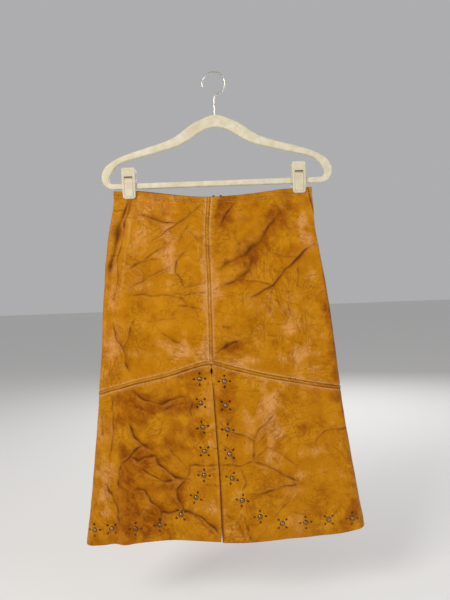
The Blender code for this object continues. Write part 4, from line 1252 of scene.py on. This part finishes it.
def stitch_places(arc, down):
    """A matrix for each stitch along a path of arcs and depths."""
    path = tube_point(arc, down)
    run = np.concatenate([[0], np.cumsum(np.linalg.norm(np.diff(path, axis=0), axis=1))]) / MM
    at = np.arange(STITCH_PITCH / 2, run[-1], STITCH_PITCH)
    near = [np.stack([np.interp(at + s, run, arc), np.interp(at + s, run, down)]) for s in (-1, 0, 1)]
    behind, here, ahead = (hide_point(a, d, LEATHER / 2 + STITCH_LIFT) for a, d in near)
    normal = tube_normal(*near[1])
    matrices = []
    for place, way, up in zip(here, ahead - behind, normal):
        z = Vector(up).normalized()
        x = Vector(way)
        x = (x - z * x.dot(z)).normalized()
        turn = Matrix((x, z.cross(x), z)).transposed().to_4x4()
        matrices.append(Matrix.Translation(place) @ turn)
    return matrices


def thread_finish():
    thread = Finish("waxed_thread", roughness=0.6)
    where = thread.place()
    twist = thread.noise(where, 1400.0, 2.0)
    soiled = thread.noise(where, 24.0, 3.0)
    colour = thread.blend((0.66, 0.45, 0.20), (0.80, 0.60, 0.32), twist)
    thread.set("Base Color", thread.blend(colour, (0.30, 0.14, 0.03), soiled.between(0.5, 0.75)))
    thread.bump(twist, 0.5, 0.0003)
    return thread.material


bm = bmesh.new()
bmesh.ops.create_icosphere(bm, subdivisions=1, radius=1.0)
for face in bm.faces:
    face.smooth = True
bmesh.ops.scale(bm, verts=bm.verts[:], vec=(STITCH_HALF * MM, STITCH_RADIUS * MM, STITCH_RADIUS * MM))
stitch = template_of(bm)
THREAD_MATERIAL = thread_finish()
paths = {}
for side, word in ((-1, "left"), (1, "right")):
    down = np.linspace(float(waist(side * 10)) + 3, float(yoke(side, STITCH_FROM_SEAM)) - 8.4, 90)
    paths[f"stitches_centre_{word}"] = (seam("front", down) + side * STITCH_FROM_SEAM, down)
    for place, away in (("above", -1), ("below", 1)):
        distance = np.linspace(STITCH_FROM_SEAM if away < 0 else 3.5, yoke_reach[side] - 1.5, 90)
        rise = yoke(side, distance + 0.5) - yoke(side, distance - 0.5)
        run = np.hypot(1.0, rise)
        moved = distance - away * STITCH_FROM_SEAM * rise / run
        down = yoke(side, distance) + away * STITCH_FROM_SEAM / run
        keep = moved > (STITCH_FROM_SEAM + 0.8 if away < 0 else 3.0)
        arc = seam("front", down) + side * moved
        paths[f"stitches_{place}_yoke_{word}"] = (arc[keep], down[keep])
    down = np.linspace(WAIST_BACK + 3, WAIST_BACK + ZIP_LENGTH + STITCH_FROM_ZIP, 60)
    paths[f"stitches_zip_{word}"] = (seam("back", down) - side * STITCH_FROM_ZIP, down)
back_seam = float(seam("back", WAIST_BACK))
all_round = 4 * float(quarter_arc(WAIST_FRONT))
arc = np.linspace(back_seam - all_round + 12, back_seam - 12, 400)
paths["stitches_waist"] = (arc, waist(arc) + STITCH_FROM_WAIST)
down = np.full(8, WAIST_BACK + ZIP_LENGTH + STITCH_FROM_ZIP)
paths["stitches_zip_end"] = (seam("back", down) + np.linspace(-8, 8, 8), down)
for name, (arc, down) in paths.items():
    places = stitch_places(arc, down)
    if name == "stitches_waist":
        sunk = Matrix.Translation((0, 0, -STITCH_SUNK_AT_WAIST * MM))
        places = [place @ sunk for place in places]
    row = new_piece(name, copies(stitch, places), THREAD_MATERIAL)
    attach(row, "skirt_and_hanger")
bpy.data.meshes.remove(stitch)

# ---------------------------------------------------------------- studs
# Domed studs of antique brass, 8.6 mm across, pronged through the hide.  Their tops are rubbed
# bright and the dark patina stays round the rim.
STUD_SEAT = 0.35
STUD_SIDES = 24
STUD_BRIGHT = 3.0
STUD_DARKENS = 1.3
STUD_PROFILE = (
    (0.0, 2.75),
    (0.9, 2.68),
    (1.8, 2.45),
    (2.6, 2.05),
    (3.3, 1.48),
    (3.8, 0.92),
    (4.1, 0.55),
    (4.3, 0.28),
    (4.28, -0.1),
    (4.0, -0.5),
)


def brass_finish(name):
    brass = Finish(name, metallic=0.9, roughness=0.3)
    where = brass.place()
    cloud = brass.noise(where, 160.0, 3.0)
    fine = brass.noise(where, 900.0, 2.0)
    rim = brass.mark("rim")
    colour = brass.blend((0.37, 0.23, 0.10), (0.20, 0.11, 0.045), cloud.between(0.35, 0.65))
    brass.set("Base Color", brass.blend(colour, (0.035, 0.020, 0.010), rim))
    brass.set("Roughness", 0.22 + cloud * 0.14 + rim * 0.25)
    brass.bump(fine, 0.12, 0.0002)
    return brass.material


BRASS_MATERIAL = brass_finish("antique_brass")
bm = bmesh.new()
verts = [bm.verts.new((radius * MM, 0, rise * MM)) for radius, rise in STUD_PROFILE]
edges = [bm.edges.new(pair) for pair in zip(verts, verts[1:])]
bmesh.ops.spin(
    bm,
    geom=verts + edges,
    cent=(0, 0, 0),
    axis=(0, 0, 1),
    angle=math.tau,
    steps=STUD_SIDES,
    use_merge=True,
)
bmesh.ops.remove_doubles(bm, verts=bm.verts[:], dist=1e-6)
bmesh.ops.holes_fill(bm, edges=[edge for edge in bm.edges if edge.is_boundary])
bmesh.ops.recalc_face_normals(bm, faces=bm.faces[:])
for face in bm.faces:
    face.smooth = True
stud = template_of(bm)
seats = hide_point(STUD_ARC, STUD_DOWN, LEATHER / 2 + STUD_SEAT)
facings = tube_normal(STUD_ARC, STUD_DOWN)
stud_rows = {"front_left": [], "front_right": [], "back": []}
for name, place, up in zip(STUD_NAMES, seats, facings):
    turn = Vector(up).to_track_quat("Z", "Y").to_matrix().to_4x4()
    row = name[len("stud_") :].rsplit("_", 1)[0]
    stud_rows[row].append((name, Matrix.Translation(place) @ turn))
radius = np.hypot(*places_of(stud)[:, :2].T) / MM
for row, placed in stud_rows.items():
    studs = new_piece(f"studs_{row}", copies(stud, [matrix for name, matrix in placed]), BRASS_MATERIAL)
    rim = ease((radius - STUD_BRIGHT) / STUD_DARKENS)
    put(studs.data, places_of(studs.data), {"rim": np.tile(rim, len(placed))})
    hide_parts(*(name for name, matrix in placed))
    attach(studs, "skirt_and_hanger")
bpy.data.meshes.remove(stud)

# With the studs in, the size of the sheet of hide that each panel was cut from is reckoned.
for panel in PANELS:
    width, length, area = cut_size(panel)
    if panel.back:
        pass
    elif panel.first_row == 0:
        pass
    else:
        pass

# ---------------------------------------------------------------- the zip at the back
# A metal zip on brown cotton tape closes the top of the centre back.  It is drawn shut, so the
# slider sits at the waist and its pull tab hangs from a rod and swings up and out.
TOOTH_PITCH = 2.2
TOOTH_HALF = (1.5, 0.75, 0.55)
TOOTH_FROM_MIDDLE = 0.8
TEETH_FROM = 256.0
TEETH_TO = 416.0
PULL_DOWN = 250.5
ROD_OUT = 4.6
# Low and high corner, rounding and its steps: the slider's body, then its bail, from the rod.
SLIDER_PARTS = (
    ((-2.4, -5.2, -5.0), (2.4, -1.3, 5.0), 0.7, 3),
    ((-1.1, -2.2, -2.1), (1.1, 2.0, -1.2), 0.35, 2),
    ((-1.1, -2.2, 1.2), (1.1, 2.0, 2.1), 0.35, 2),
    ((-1.1, 1.15, -2.1), (1.1, 2.05, 2.1), 0.35, 2),
)
TAB_HALF = (2.9, 0.6)
TAB_TOP = 0.6
TAB_FOOT = -23.0
# The same for what is cut out of the tab: its window over the bail, and the hole at its foot.
TAB_CUTS = {
    "tab_window": ((-1.7, -4, -4.2), (1.7, 4, -0.6), 0.3, 1),
    "tab_hole": ((-0.9, -4, -20.4), (0.9, 4, -18.6), 0.85, 4),
}


def tape_finish():
    tape = Finish("zip_tape_cotton", roughness=0.9)
    where = tape.place()
    ribs = tape.node(
        "ShaderNodeTexWave", {"bands_direction": "Z"}, {"Vector": where, "Scale": 260.0}, "Fac"
    )
    warp = tape.node(
        "ShaderNodeTexWave", {"bands_direction": "X"}, {"Vector": where, "Scale": 330.0}, "Fac"
    )
    weave = ribs * 0.6 + warp * 0.4
    colour = tape.blend((0.07, 0.035, 0.015), (0.17, 0.09, 0.04), weave)
    tape.set("Base Color", tape.blend(colour, (0.24, 0.14, 0.07), tape.noise(where, 60.0) * 0.3))
    tape.bump(weave, 0.6, 0.0003)
    return tape.material


def bevelled_box(bm, low, high, width, segments):
    """A box in millimetres with rounded edges, from its low corner to its high one."""
    middle = [(a + b) / 2 * MM for a, b in zip(low, high)]
    size = [(b - a) * MM for a, b in zip(low, high)]
    made = bmesh.ops.create_cube(
        bm, size=1.0, matrix=Matrix.Translation(middle) @ Matrix.Diagonal((*size, 1.0))
    )
    edges = {edge for vert in made["verts"] for edge in vert.link_edges}
    bmesh.ops.bevel(
        bm,
        geom=list(edges),
        offset=width * MM,
        offset_type="OFFSET",
        segments=segments,
        profile=0.5,
        affect="EDGES",
        material=-1,
        clamp_overlap=True,
    )


def smooth_shade(piece, degrees=35):
    for face in piece.data.polygons:
        face.use_smooth = True
    piece.data.set_sharp_from_angle(angle=math.radians(degrees))


TAPE_MATERIAL = tape_finish()
for word in ("left", "right"):
    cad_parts[f"zip_tape_{word}"].data.materials.clear()
    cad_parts[f"zip_tape_{word}"].data.materials.append(TAPE_MATERIAL)

bm = bmesh.new()
bevelled_box(bm, [-half for half in TOOTH_HALF], TOOTH_HALF, 0.3, 1)
tooth = template_of(bm)
tooth_depths = np.arange(TEETH_FROM, TEETH_TO, TOOTH_PITCH)
matrices = []
for side in (-1, 1):
    down = tooth_depths + (TOOTH_PITCH / 2 if side > 0 else 0)
    arc = seam("back", down) - side * TOOTH_FROM_MIDDLE
    points = tube_point(arc, down) - tube_normal(arc, down) * (LEATHER / 2 + 0.05) * MM
    for place, up in zip(points, tube_normal(arc, down)):
        z = Vector(up)
        x = Vector((1, 0, 0))
        x = (x - z * x.dot(z)).normalized()
        turn = Matrix((x, z, x.cross(z))).transposed().to_4x4()
        matrices.append(Matrix.Translation(place) @ turn)
teeth = new_piece("zip_teeth", copies(tooth, matrices), BRASS_MATERIAL)
bpy.data.meshes.remove(tooth)
smooth_shade(teeth)
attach(teeth, "skirt_and_hanger")

hinge = tube_point(seam("back", PULL_DOWN), np.array(PULL_DOWN)) + np.array((0, ROD_OUT * MM, 0))
bm = bmesh.new()
for low, high, rounding, segments in SLIDER_PARTS:
    bevelled_box(bm, low, high, rounding, segments)
bmesh.ops.translate(bm, verts=bm.verts[:], vec=hinge)
slider = new_piece("zip_slider_body", bm, BRASS_MATERIAL)
smooth_shade(slider)
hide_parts("zip_slider")
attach(slider, "skirt_and_hanger")

bm = bmesh.new()
bevelled_box(bm, (-TAB_HALF[0], -TAB_HALF[1], TAB_FOOT), (*TAB_HALF, TAB_TOP), 0.45, 3)
tab = new_piece("zip_pull_tab", bm, BRASS_MATERIAL)
for name, (low, high, rounding, segments) in TAB_CUTS.items():
    bm = bmesh.new()
    bevelled_box(bm, low, high, rounding, segments)
    cut_away(tab, new_piece(name, bm))
tab.data.transform(Matrix.Translation(hinge))
smooth_shade(tab)
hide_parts("zip_pull")
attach(tab, "pull_tab")

# ---------------------------------------------------------------- waist hook and eye
# Above the zip a wire hook on one side goes into a wire eye on the other.  Both are sewn inside
# the waist, so only their dark bends show over the edge.
FASTENING_WIRE = 0.75
EYELET = 1.0
TONGUE_HALF = 1.3
BEND_STEPS = 12
# Rings that round off a wire's end: how far out, and how thick, for its radius.
WIRE_ENDS = ((0.55, 0.84), (0.9, 0.44))


def wire_tube(bm, points, radius, sides):
    """A round wire along a smooth path, with rounded ends."""
    points = [Vector(point) for point in points]
    side = Vector((0, 1, 0))
    rings = []
    for number, point in enumerate(points):
        before, after = points[max(number - 1, 0)], points[min(number + 1, len(points) - 1)]
        way = (after - before).normalized()
        side = (side - way * side.dot(way)).normalized()
        rings.append((point, side.copy(), way.cross(side), way, 1.0))

    def rounded(ring, outward):
        point, side, other, way, share = ring
        return [(point + way * radius * lift * outward, side, other, way, s) for lift, s in WIRE_ENDS]

    path = [*reversed(rounded(rings[0], -1)), *rings, *rounded(rings[-1], 1)]
    loops = []
    for point, side, other, way, share in path:
        ring = bmesh.ops.create_circle(bm, segments=sides, radius=radius * share)["verts"]
        turn = Matrix((side, other, side.cross(other))).transposed().to_4x4()
        bmesh.ops.transform(bm, matrix=Matrix.Translation(point) @ turn, verts=ring)
        loops.append(list({edge for vert in ring for edge in vert.link_edges}))
    for first, second in zip(loops, loops[1:]):
        bmesh.ops.bridge_loops(bm, edges=first + second)
    for loop in (loops[0], loops[-1]):
        bmesh.ops.holes_fill(bm, edges=loop)
    bmesh.ops.recalc_face_normals(bm, faces=bm.faces[:])


def bent(x, y, z, radius, start, sweep, steps):
    """Points along an arc that stands upright and faces the front."""
    angles = [sweep * step / steps + start for step in range(steps + 1)]
    return [(x + radius * math.cos(angle), y, z + radius * math.sin(angle)) for angle in angles]


def black_wire_finish():
    wire = Finish("blackened_wire", metallic=0.2, roughness=0.5)
    worn = wire.noise(wire.place(), 700.0, 2.0)
    wire.set("Base Color", wire.blend((0.010, 0.008, 0.007), (0.06, 0.05, 0.04), worn.between(0.5, 0.8)))
    wire.set("Roughness", 0.45 + worn * 0.2)
    return wire.material


BLACK_WIRE = black_wire_finish()
for name in ("waist_hook", "waist_eye"):
    low, high = (np.array(corner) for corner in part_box(name))
    x, y, z = (low + high) / 2
    reach = (high[0] - low[0]) / 2
    top = high[2] - FASTENING_WIRE * MM
    foot = low[2] + 1.6 * MM
    bm = bmesh.new()
    crown = bent(x, y, top - reach, reach, 0, math.pi, BEND_STEPS)
    wire_tube(bm, [(x + reach, y, foot), *crown, (x - reach, y, foot)], FASTENING_WIRE * MM, 10)
    # The hook has a tongue bent down inside its loop; the eye a flat stiffener.
    low_corner = (x / MM - TONGUE_HALF, y / MM - 0.5, foot / MM + 3.0)
    high_corner = (x / MM + TONGUE_HALF, y / MM + 0.5, top / MM + 0.2)
    bevelled_box(bm, low_corner, high_corner, 0.4, 2)
    # An eyelet at each foot takes the thread.
    for way in (1, -1):
        at = (x + way * reach * 0.95, y + 0.15 * MM, foot - 0.2 * MM)
        eyelet = bent(*at, EYELET * MM, math.pi / 2, math.tau, BEND_STEPS + 1)
        wire_tube(bm, eyelet, 0.9 * FASTENING_WIRE * MM, 8)
    fastening = new_piece(f"{name}_wire", bm, BLACK_WIRE)
    smooth_shade(fastening, 50)
    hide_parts(name)
    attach(fastening, "skirt_and_hanger")

# ---------------------------------------------------------------- hanger frame
# One moulding of ivory plastic: a loop whose shoulders rise to the hook and whose lower bar
# carries the clips.  It is 7 mm thick with rounded edges, a little mottled and scuffed.
OUTER_OUTLINE = (
    (0, 81.8),
    (11, 83.6),
    (22, 87.8),
    (41, 95.8),
    (53, 103.5),
    (64, 111.5),
    (75, 119.5),
    (90, 127.3),
    (112, 134.8),
    (139, 142.6),
    (167, 150.9),
    (187, 157.8),
    (203, 165.8),
    (215, 174.6),
    (222, 185),
    (224.5, 196),
    (222.5, 207),
    (216, 215.5),
    (206, 220),
    (192, 221),
)
INNER_OUTLINE = (
    (0, 106),
    (10, 107),
    (21, 110.5),
    (32, 116.2),
    (43, 123.4),
    (56, 131.6),
    (71, 138.8),
    (88, 144.4),
    (108, 149.6),
    (130, 155.2),
    (153, 160.8),
    (172, 165.6),
    (186, 170.4),
    (197, 178.6),
    (204, 187.6),
    (208.4, 197),
    (209.4, 202.6),
    (207.6, 207.2),
    (203, 209.4),
    (190, 209.8),
)
HANGER_TOP = OUTER_OUTLINE[0][1]
HANGER_HALF = 3.5
HANGER_ROUNDING = 2.4
CURVE_STEPS = 4
BAR_STEPS = 60
SOCKET_RADIUS = 2.05
SOCKET_DEPTH = 13.0


def plastic_finish():
    plastic = Finish("ivory_plastic", roughness=0.45)
    where = plastic.place()
    broad = plastic.noise(where, 9.0, 3.0)
    cloud = plastic.noise(where, 70.0, 4.0, 0.6)
    fine = plastic.noise(where, 520.0, 3.0, 0.6)
    specks = plastic.noise(where, 190.0, 4.0, 0.7).between(0.66, 0.76)
    colour = plastic.blend((0.60, 0.53, 0.37), (0.70, 0.64, 0.49), cloud.between(0.3, 0.7))
    colour = plastic.blend(colour, (0.54, 0.43, 0.26), broad.between(0.5, 0.75) * 0.6)
    colour = plastic.blend(colour, (0.40, 0.33, 0.19), specks * 0.5)
    # The panel's border: dirt in its groove, with painted shade on its right-hand side.
    colour = plastic.blend(colour, (0.30, 0.22, 0.11), plastic.mark("rim") * 0.75)
    # The slot is painted near black, as painted shade in the recess.
    plastic.set("Base Color", plastic.blend(colour, (0.035, 0.028, 0.02), plastic.mark("slot")))
    plastic.set("Roughness", 0.36 + fine * 0.2 + specks * 0.2)
    plastic.bump(cloud * 0.5 + fine * 0.5, 0.25, 0.0005)
    return plastic.material


def rounded_loop(half):
    """A mirrored half outline as one smooth loop, with a straight bar across its foot."""
    points = [Vector(point) for point in half]
    loop = points + [Vector((-point.x, point.y)) for point in reversed(points[1:])]
    drawn = []
    for number, here in enumerate(loop):
        ahead = loop[(number + 1) % len(loop)]
        if number == len(points) - 1:
            drawn += [here.lerp(ahead, step / BAR_STEPS) for step in range(BAR_STEPS)]
            continue
        # The corners run into the bar without a kink, as if it went on level.
        before, after = loop[number - 1], loop[(number + 2) % len(loop)]
        if number == len(points) - 2:
            after = ahead - Vector((20, 0))
        if number == len(points):
            before = here + Vector((20, 0))
        for step in range(CURVE_STEPS):
            t = step / CURVE_STEPS
            drawn.append(
                0.5
                * (
                    2 * here
                    + (ahead - before) * t
                    + (2 * before - 5 * here + 4 * ahead - after) * t**2
                    + (3 * here - before - 3 * ahead + after) * t**3
                )
            )
    return drawn


PLASTIC_MATERIAL = plastic_finish()
bm = bmesh.new()
loops = []
for half in (OUTER_OUTLINE, INNER_OUTLINE):
    verts = [bm.verts.new((p.x * MM, HANGER_HALF * MM, -p.y * MM)) for p in rounded_loop(half)]
    loops.append([bm.edges.new(pair) for pair in zip(verts, verts[1:] + verts[:1])])
bmesh.ops.bridge_loops(bm, edges=loops[0] + loops[1])
thicken(bm, (0, -2 * HANGER_HALF * MM, 0))
rims = [edge for edge in bm.edges if edge.calc_face_angle(0) > math.radians(60)]
bmesh.ops.bevel(
    bm,
    geom=rims,
    offset=HANGER_ROUNDING * MM,
    offset_type="OFFSET",
    segments=5,
    profile=0.5,
    affect="EDGES",
    material=-1,
    clamp_overlap=True,
)
loop_piece = new_piece("hanger_loop", bm, PLASTIC_MATERIAL)
bm = bmesh.new()
bmesh.ops.create_cone(
    bm,
    cap_ends=True,
    segments=32,
    radius1=SOCKET_RADIUS * MM,
    radius2=SOCKET_RADIUS * MM,
    depth=2 * SOCKET_DEPTH * MM,
    matrix=Matrix.Translation((0, 0, -HANGER_TOP * MM)),
)
cut_away(loop_piece, new_piece("hook_socket", bm))
smooth_shade(loop_piece, 50)
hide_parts("hanger_frame")
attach(loop_piece, "skirt_and_hanger")

# ---------------------------------------------------------------- hanger hook
# A bent steel wire, 3.6 mm thick, stands in the socket and curls over to its rounded tip.  It
# is nickel plated, with fine draw lines and a little tarnish.
WIRE_RADIUS = 1.8
WIRE_IN_SOCKET = 12.4
HOOK_RADIUS = 22.0
NECK_TOP = -56.0
NECK_STEPS = 6
SWEEP_STEPS = 16
BOWL_STEPS = 48
HOOK_START = math.radians(-72.0)
HOOK_END = math.radians(200.0)


def steel_finish():
    steel = Finish("plated_steel", metallic=1.0, roughness=0.28)
    where = steel.place()
    tarnish = steel.noise(where, 90.0, 4.0, 0.6)
    fine = steel.noise(where, 1200.0, 2.0)
    colour = steel.blend((0.60, 0.58, 0.53), (0.38, 0.33, 0.27), tarnish.between(0.45, 0.75))
    steel.set("Base Color", colour)
    steel.set("Roughness", 0.22 + tarnish * 0.2)
    steel.bump(fine, 0.15, 0.0002)
    return steel.material


STEEL_MATERIAL = steel_finish()
centre_z = WIRE_RADIUS - HOOK_RADIUS
foot = -HANGER_TOP - WIRE_IN_SOCKET
start = HOOK_START
joined = Vector((HOOK_RADIUS * math.cos(start), 0, centre_z + HOOK_RADIUS * math.sin(start)))
leave = Vector((-math.sin(start), 0, math.cos(start)))
# Up the neck, aside in a sweep, and round the bowl.
bends = [Vector((0, 0, foot + (NECK_TOP - foot) * step / NECK_STEPS)) for step in range(NECK_STEPS)]
for step in range(SWEEP_STEPS + 1):
    t = step / SWEEP_STEPS
    a = Vector((0, 0, NECK_TOP)) * (1 - t) ** 3
    b = Vector((0, 0, NECK_TOP + 8)) * 3 * t * (1 - t) ** 2
    c = (joined - leave * 6) * 3 * t**2 * (1 - t)
    bends.append(a + b + c + joined * t**3)
for step in range(1, BOWL_STEPS + 1):
    angle = start + (HOOK_END - start) * step / BOWL_STEPS
    bends.append(Vector((math.cos(angle), 0, math.sin(angle))) * HOOK_RADIUS)
    bends[-1].z += centre_z
bm = bmesh.new()
wire_tube(bm, [bend * MM for bend in bends], WIRE_RADIUS * MM, 20)
hook = new_piece("hook_wire", bm, STEEL_MATERIAL)
smooth_shade(hook, 50)
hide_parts("hanger_hook")
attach(hook, "skirt_and_hanger")

# ---------------------------------------------------------------- clips
# Each clip is two ivory jaws that a bent steel strip over the bar presses together at the foot.
# A jaw has a finger tab at the top, a narrow slot, and a sunk panel with a raised border.
JAW = (
    (180.4, 7.2, 10.6, 13.2),
    (195.0, 6.0, 10.0, 13.2),
    (204.0, 4.6, 9.4, 13.2),
    (208.5, 3.8, 9.2, 13.2),
    (222.3, 3.8, 8.2, 13.0),
    (227.0, 2.05, 7.4, 12.8),
    (237.0, 2.05, 5.8, 12.2),
    (240.3, 2.05, 4.6, 11.4),
)
JAW_AT = columns_of(("down", "inner", "outer", "half_width"), JAW)
JAW_TOP, JAW_FOOT = JAW[0][0], JAW[-1][0]
JAW_COLUMNS = 44
JAW_ROWS = 92
CORNER = 1.6
TOP_CORNER = 3.0
FOOT_CORNER = (4.0, 4.5)


def jaw_face(aside, down):
    """How far the front face is sunk (-) or raised (+) at a place on a jaw."""

    def box(half, top, foot, soft):
        across = ease((half - np.abs(aside)) / soft + 0.5)
        return across * ease((down - top) / soft + 0.5) * ease((foot - down) / soft + 0.5)

    panel = box(8.6, 201.6, 235.6, 0.9)
    rim = box(9.2, 201.0, 236.2, 0.9) - box(7.9, 202.2, 234.9, 0.9)
    # The slot's mark paints it near black: painted shade in the recess.
    slot = box(8.2, 197.9, 200.1, 0.7)
    lip = box(12.0, 182.0, 184.2, 1.4)
    # Painted shade makes the border line round the panel darker on its right-hand side; the rest of it
    # is dirt in its groove.
    side = 0.75 + 0.25 * np.sign(aside) * (down < 234)
    return -0.8 * panel - 1.4 * slot + 0.3 * lip, slot, rim * side


for word, middle_x in CLIP_MIDDLES.items():
    for place, facing in (("front", -1), ("rear", 1)):
        bm = bmesh.new()
        bmesh.ops.create_grid(bm, x_segments=JAW_COLUMNS, y_segments=JAW_ROWS, size=0.5)
        thicken(bm, (0, 0, 1))
        jaw = new_piece(f"jaw_{word}_{place}", bm, PLASTIC_MATERIAL)
        flat = places_of(jaw.data)
        down = JAW_TOP + (JAW_FOOT - JAW_TOP) * (0.5 - flat[:, 1])
        half = np.interp(down, JAW_AT["down"], JAW_AT["half_width"])
        # The corners are rounded, more at the foot.
        near_top = np.clip(1 - (down - JAW_TOP) / TOP_CORNER, 0, 1)
        near_foot = np.clip(1 - (JAW_FOOT - down) / FOOT_CORNER[1], 0, 1)
        half = half - TOP_CORNER * (1 - np.sqrt(1 - near_top**2))
        half = half - FOOT_CORNER[0] * (1 - np.sqrt(1 - near_foot**2))
        aside = flat[:, 0] * 2 * half
        inner = np.interp(down, JAW_AT["down"], JAW_AT["inner"])
        outer = np.interp(down, JAW_AT["down"], JAW_AT["outer"])
        sunk, slot, rim = jaw_face(aside, down)
        edge = np.minimum(half - np.abs(aside), np.minimum(down - JAW_TOP, JAW_FOOT - down))
        drop = CORNER * (1 - np.sqrt(np.clip(1 - (1 - np.clip(edge / CORNER, 0, 1)) ** 2, 0, 1)))
        outside = flat[:, 2] > 0.5
        y = facing * np.where(outside, np.maximum(outer + sunk - drop, inner + 0.5), inner)
        places = np.stack((middle_x + aside, y, -down), axis=1) * MM
        put(jaw.data, places, {"slot": slot * outside, "rim": rim * outside})
        if facing > 0:
            jaw.data.flip_normals()
        smooth_shade(jaw, 60)
        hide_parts(f"clip_{word}_{place}_jaw")
        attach(jaw, "skirt_and_hanger")
    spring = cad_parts[f"clip_{word}_spring"]
    spring.data.materials.clear()
    spring.data.materials.append(STEEL_MATERIAL)

# ---------------------------------------------------------------- floor, light and camera
# A plain pale floor under the hanging skirt, soft light from the upper left, and the camera at
# the photograph's angle, a metre away and rolled 2.1 degrees.  Metres and watts.
FLOOR_DOWN = 1.06
FLOOR_COLOUR = (0.80, 0.79, 0.77)
ROOM_COLOUR = (0.93, 0.93, 0.95)
ROOM_STRENGTH = 0.45
LIT_POINT = Vector((0, 0, -0.5))
CAMERA_PLACE = (0.007, -1.0, -0.443)
CAMERA_ROLL = -2.1
LENS = 30.77
PICTURE_HEIGHT = 36.0

bm = bmesh.new()
bmesh.ops.create_grid(bm, x_segments=1, y_segments=1, size=40.0)
bmesh.ops.translate(bm, verts=bm.verts[:], vec=(0, 0, -FLOOR_DOWN))
floor = new_piece("floor", bm, Finish("pale_floor", FLOOR_COLOUR, 0.9).material)


def light(name, place, size, power, colour):
    lamp = bpy.data.lights.new(name, "AREA")
    lamp.shape = "SQUARE"
    lamp.size = size
    lamp.energy = power
    lamp.color = colour
    made = bpy.data.objects.new(name, lamp)
    bpy.context.scene.collection.objects.link(made)
    made.location = place
    made.rotation_euler = (LIT_POINT - Vector(place)).to_track_quat("-Z", "Y").to_euler()


light("key_light", (-1.5, -1.9, 0.9), 1.0, 47.0, (1.0, 0.97, 0.92))
light("fill_light", (1.9, -1.5, -0.2), 1.6, 15.0, (0.93, 0.96, 1.0))
light("back_light", (0.6, 2.2, 0.8), 1.6, 30.0, (1.0, 1.0, 1.0))
room = bpy.data.worlds.new("room")
room.use_nodes = True
room.node_tree.nodes["Background"].inputs["Color"].default_value = (*ROOM_COLOUR, 1.0)
room.node_tree.nodes["Background"].inputs["Strength"].default_value = ROOM_STRENGTH
bpy.context.scene.world = room
bpy.context.scene.view_settings.view_transform = "Standard"

lens = bpy.data.cameras.new("camera")
lens.sensor_fit = "VERTICAL"
lens.sensor_height = PICTURE_HEIGHT
lens.lens = LENS
lens.clip_start = 0.01
camera = bpy.data.objects.new("camera", lens)
camera.matrix_world = (
    Matrix.Translation(CAMERA_PLACE)
    @ Matrix.Rotation(math.radians(90), 4, "X")
    @ Matrix.Rotation(math.radians(CAMERA_ROLL), 4, "Z")
)
bpy.context.scene.collection.objects.link(camera)
bpy.context.scene.camera = camera
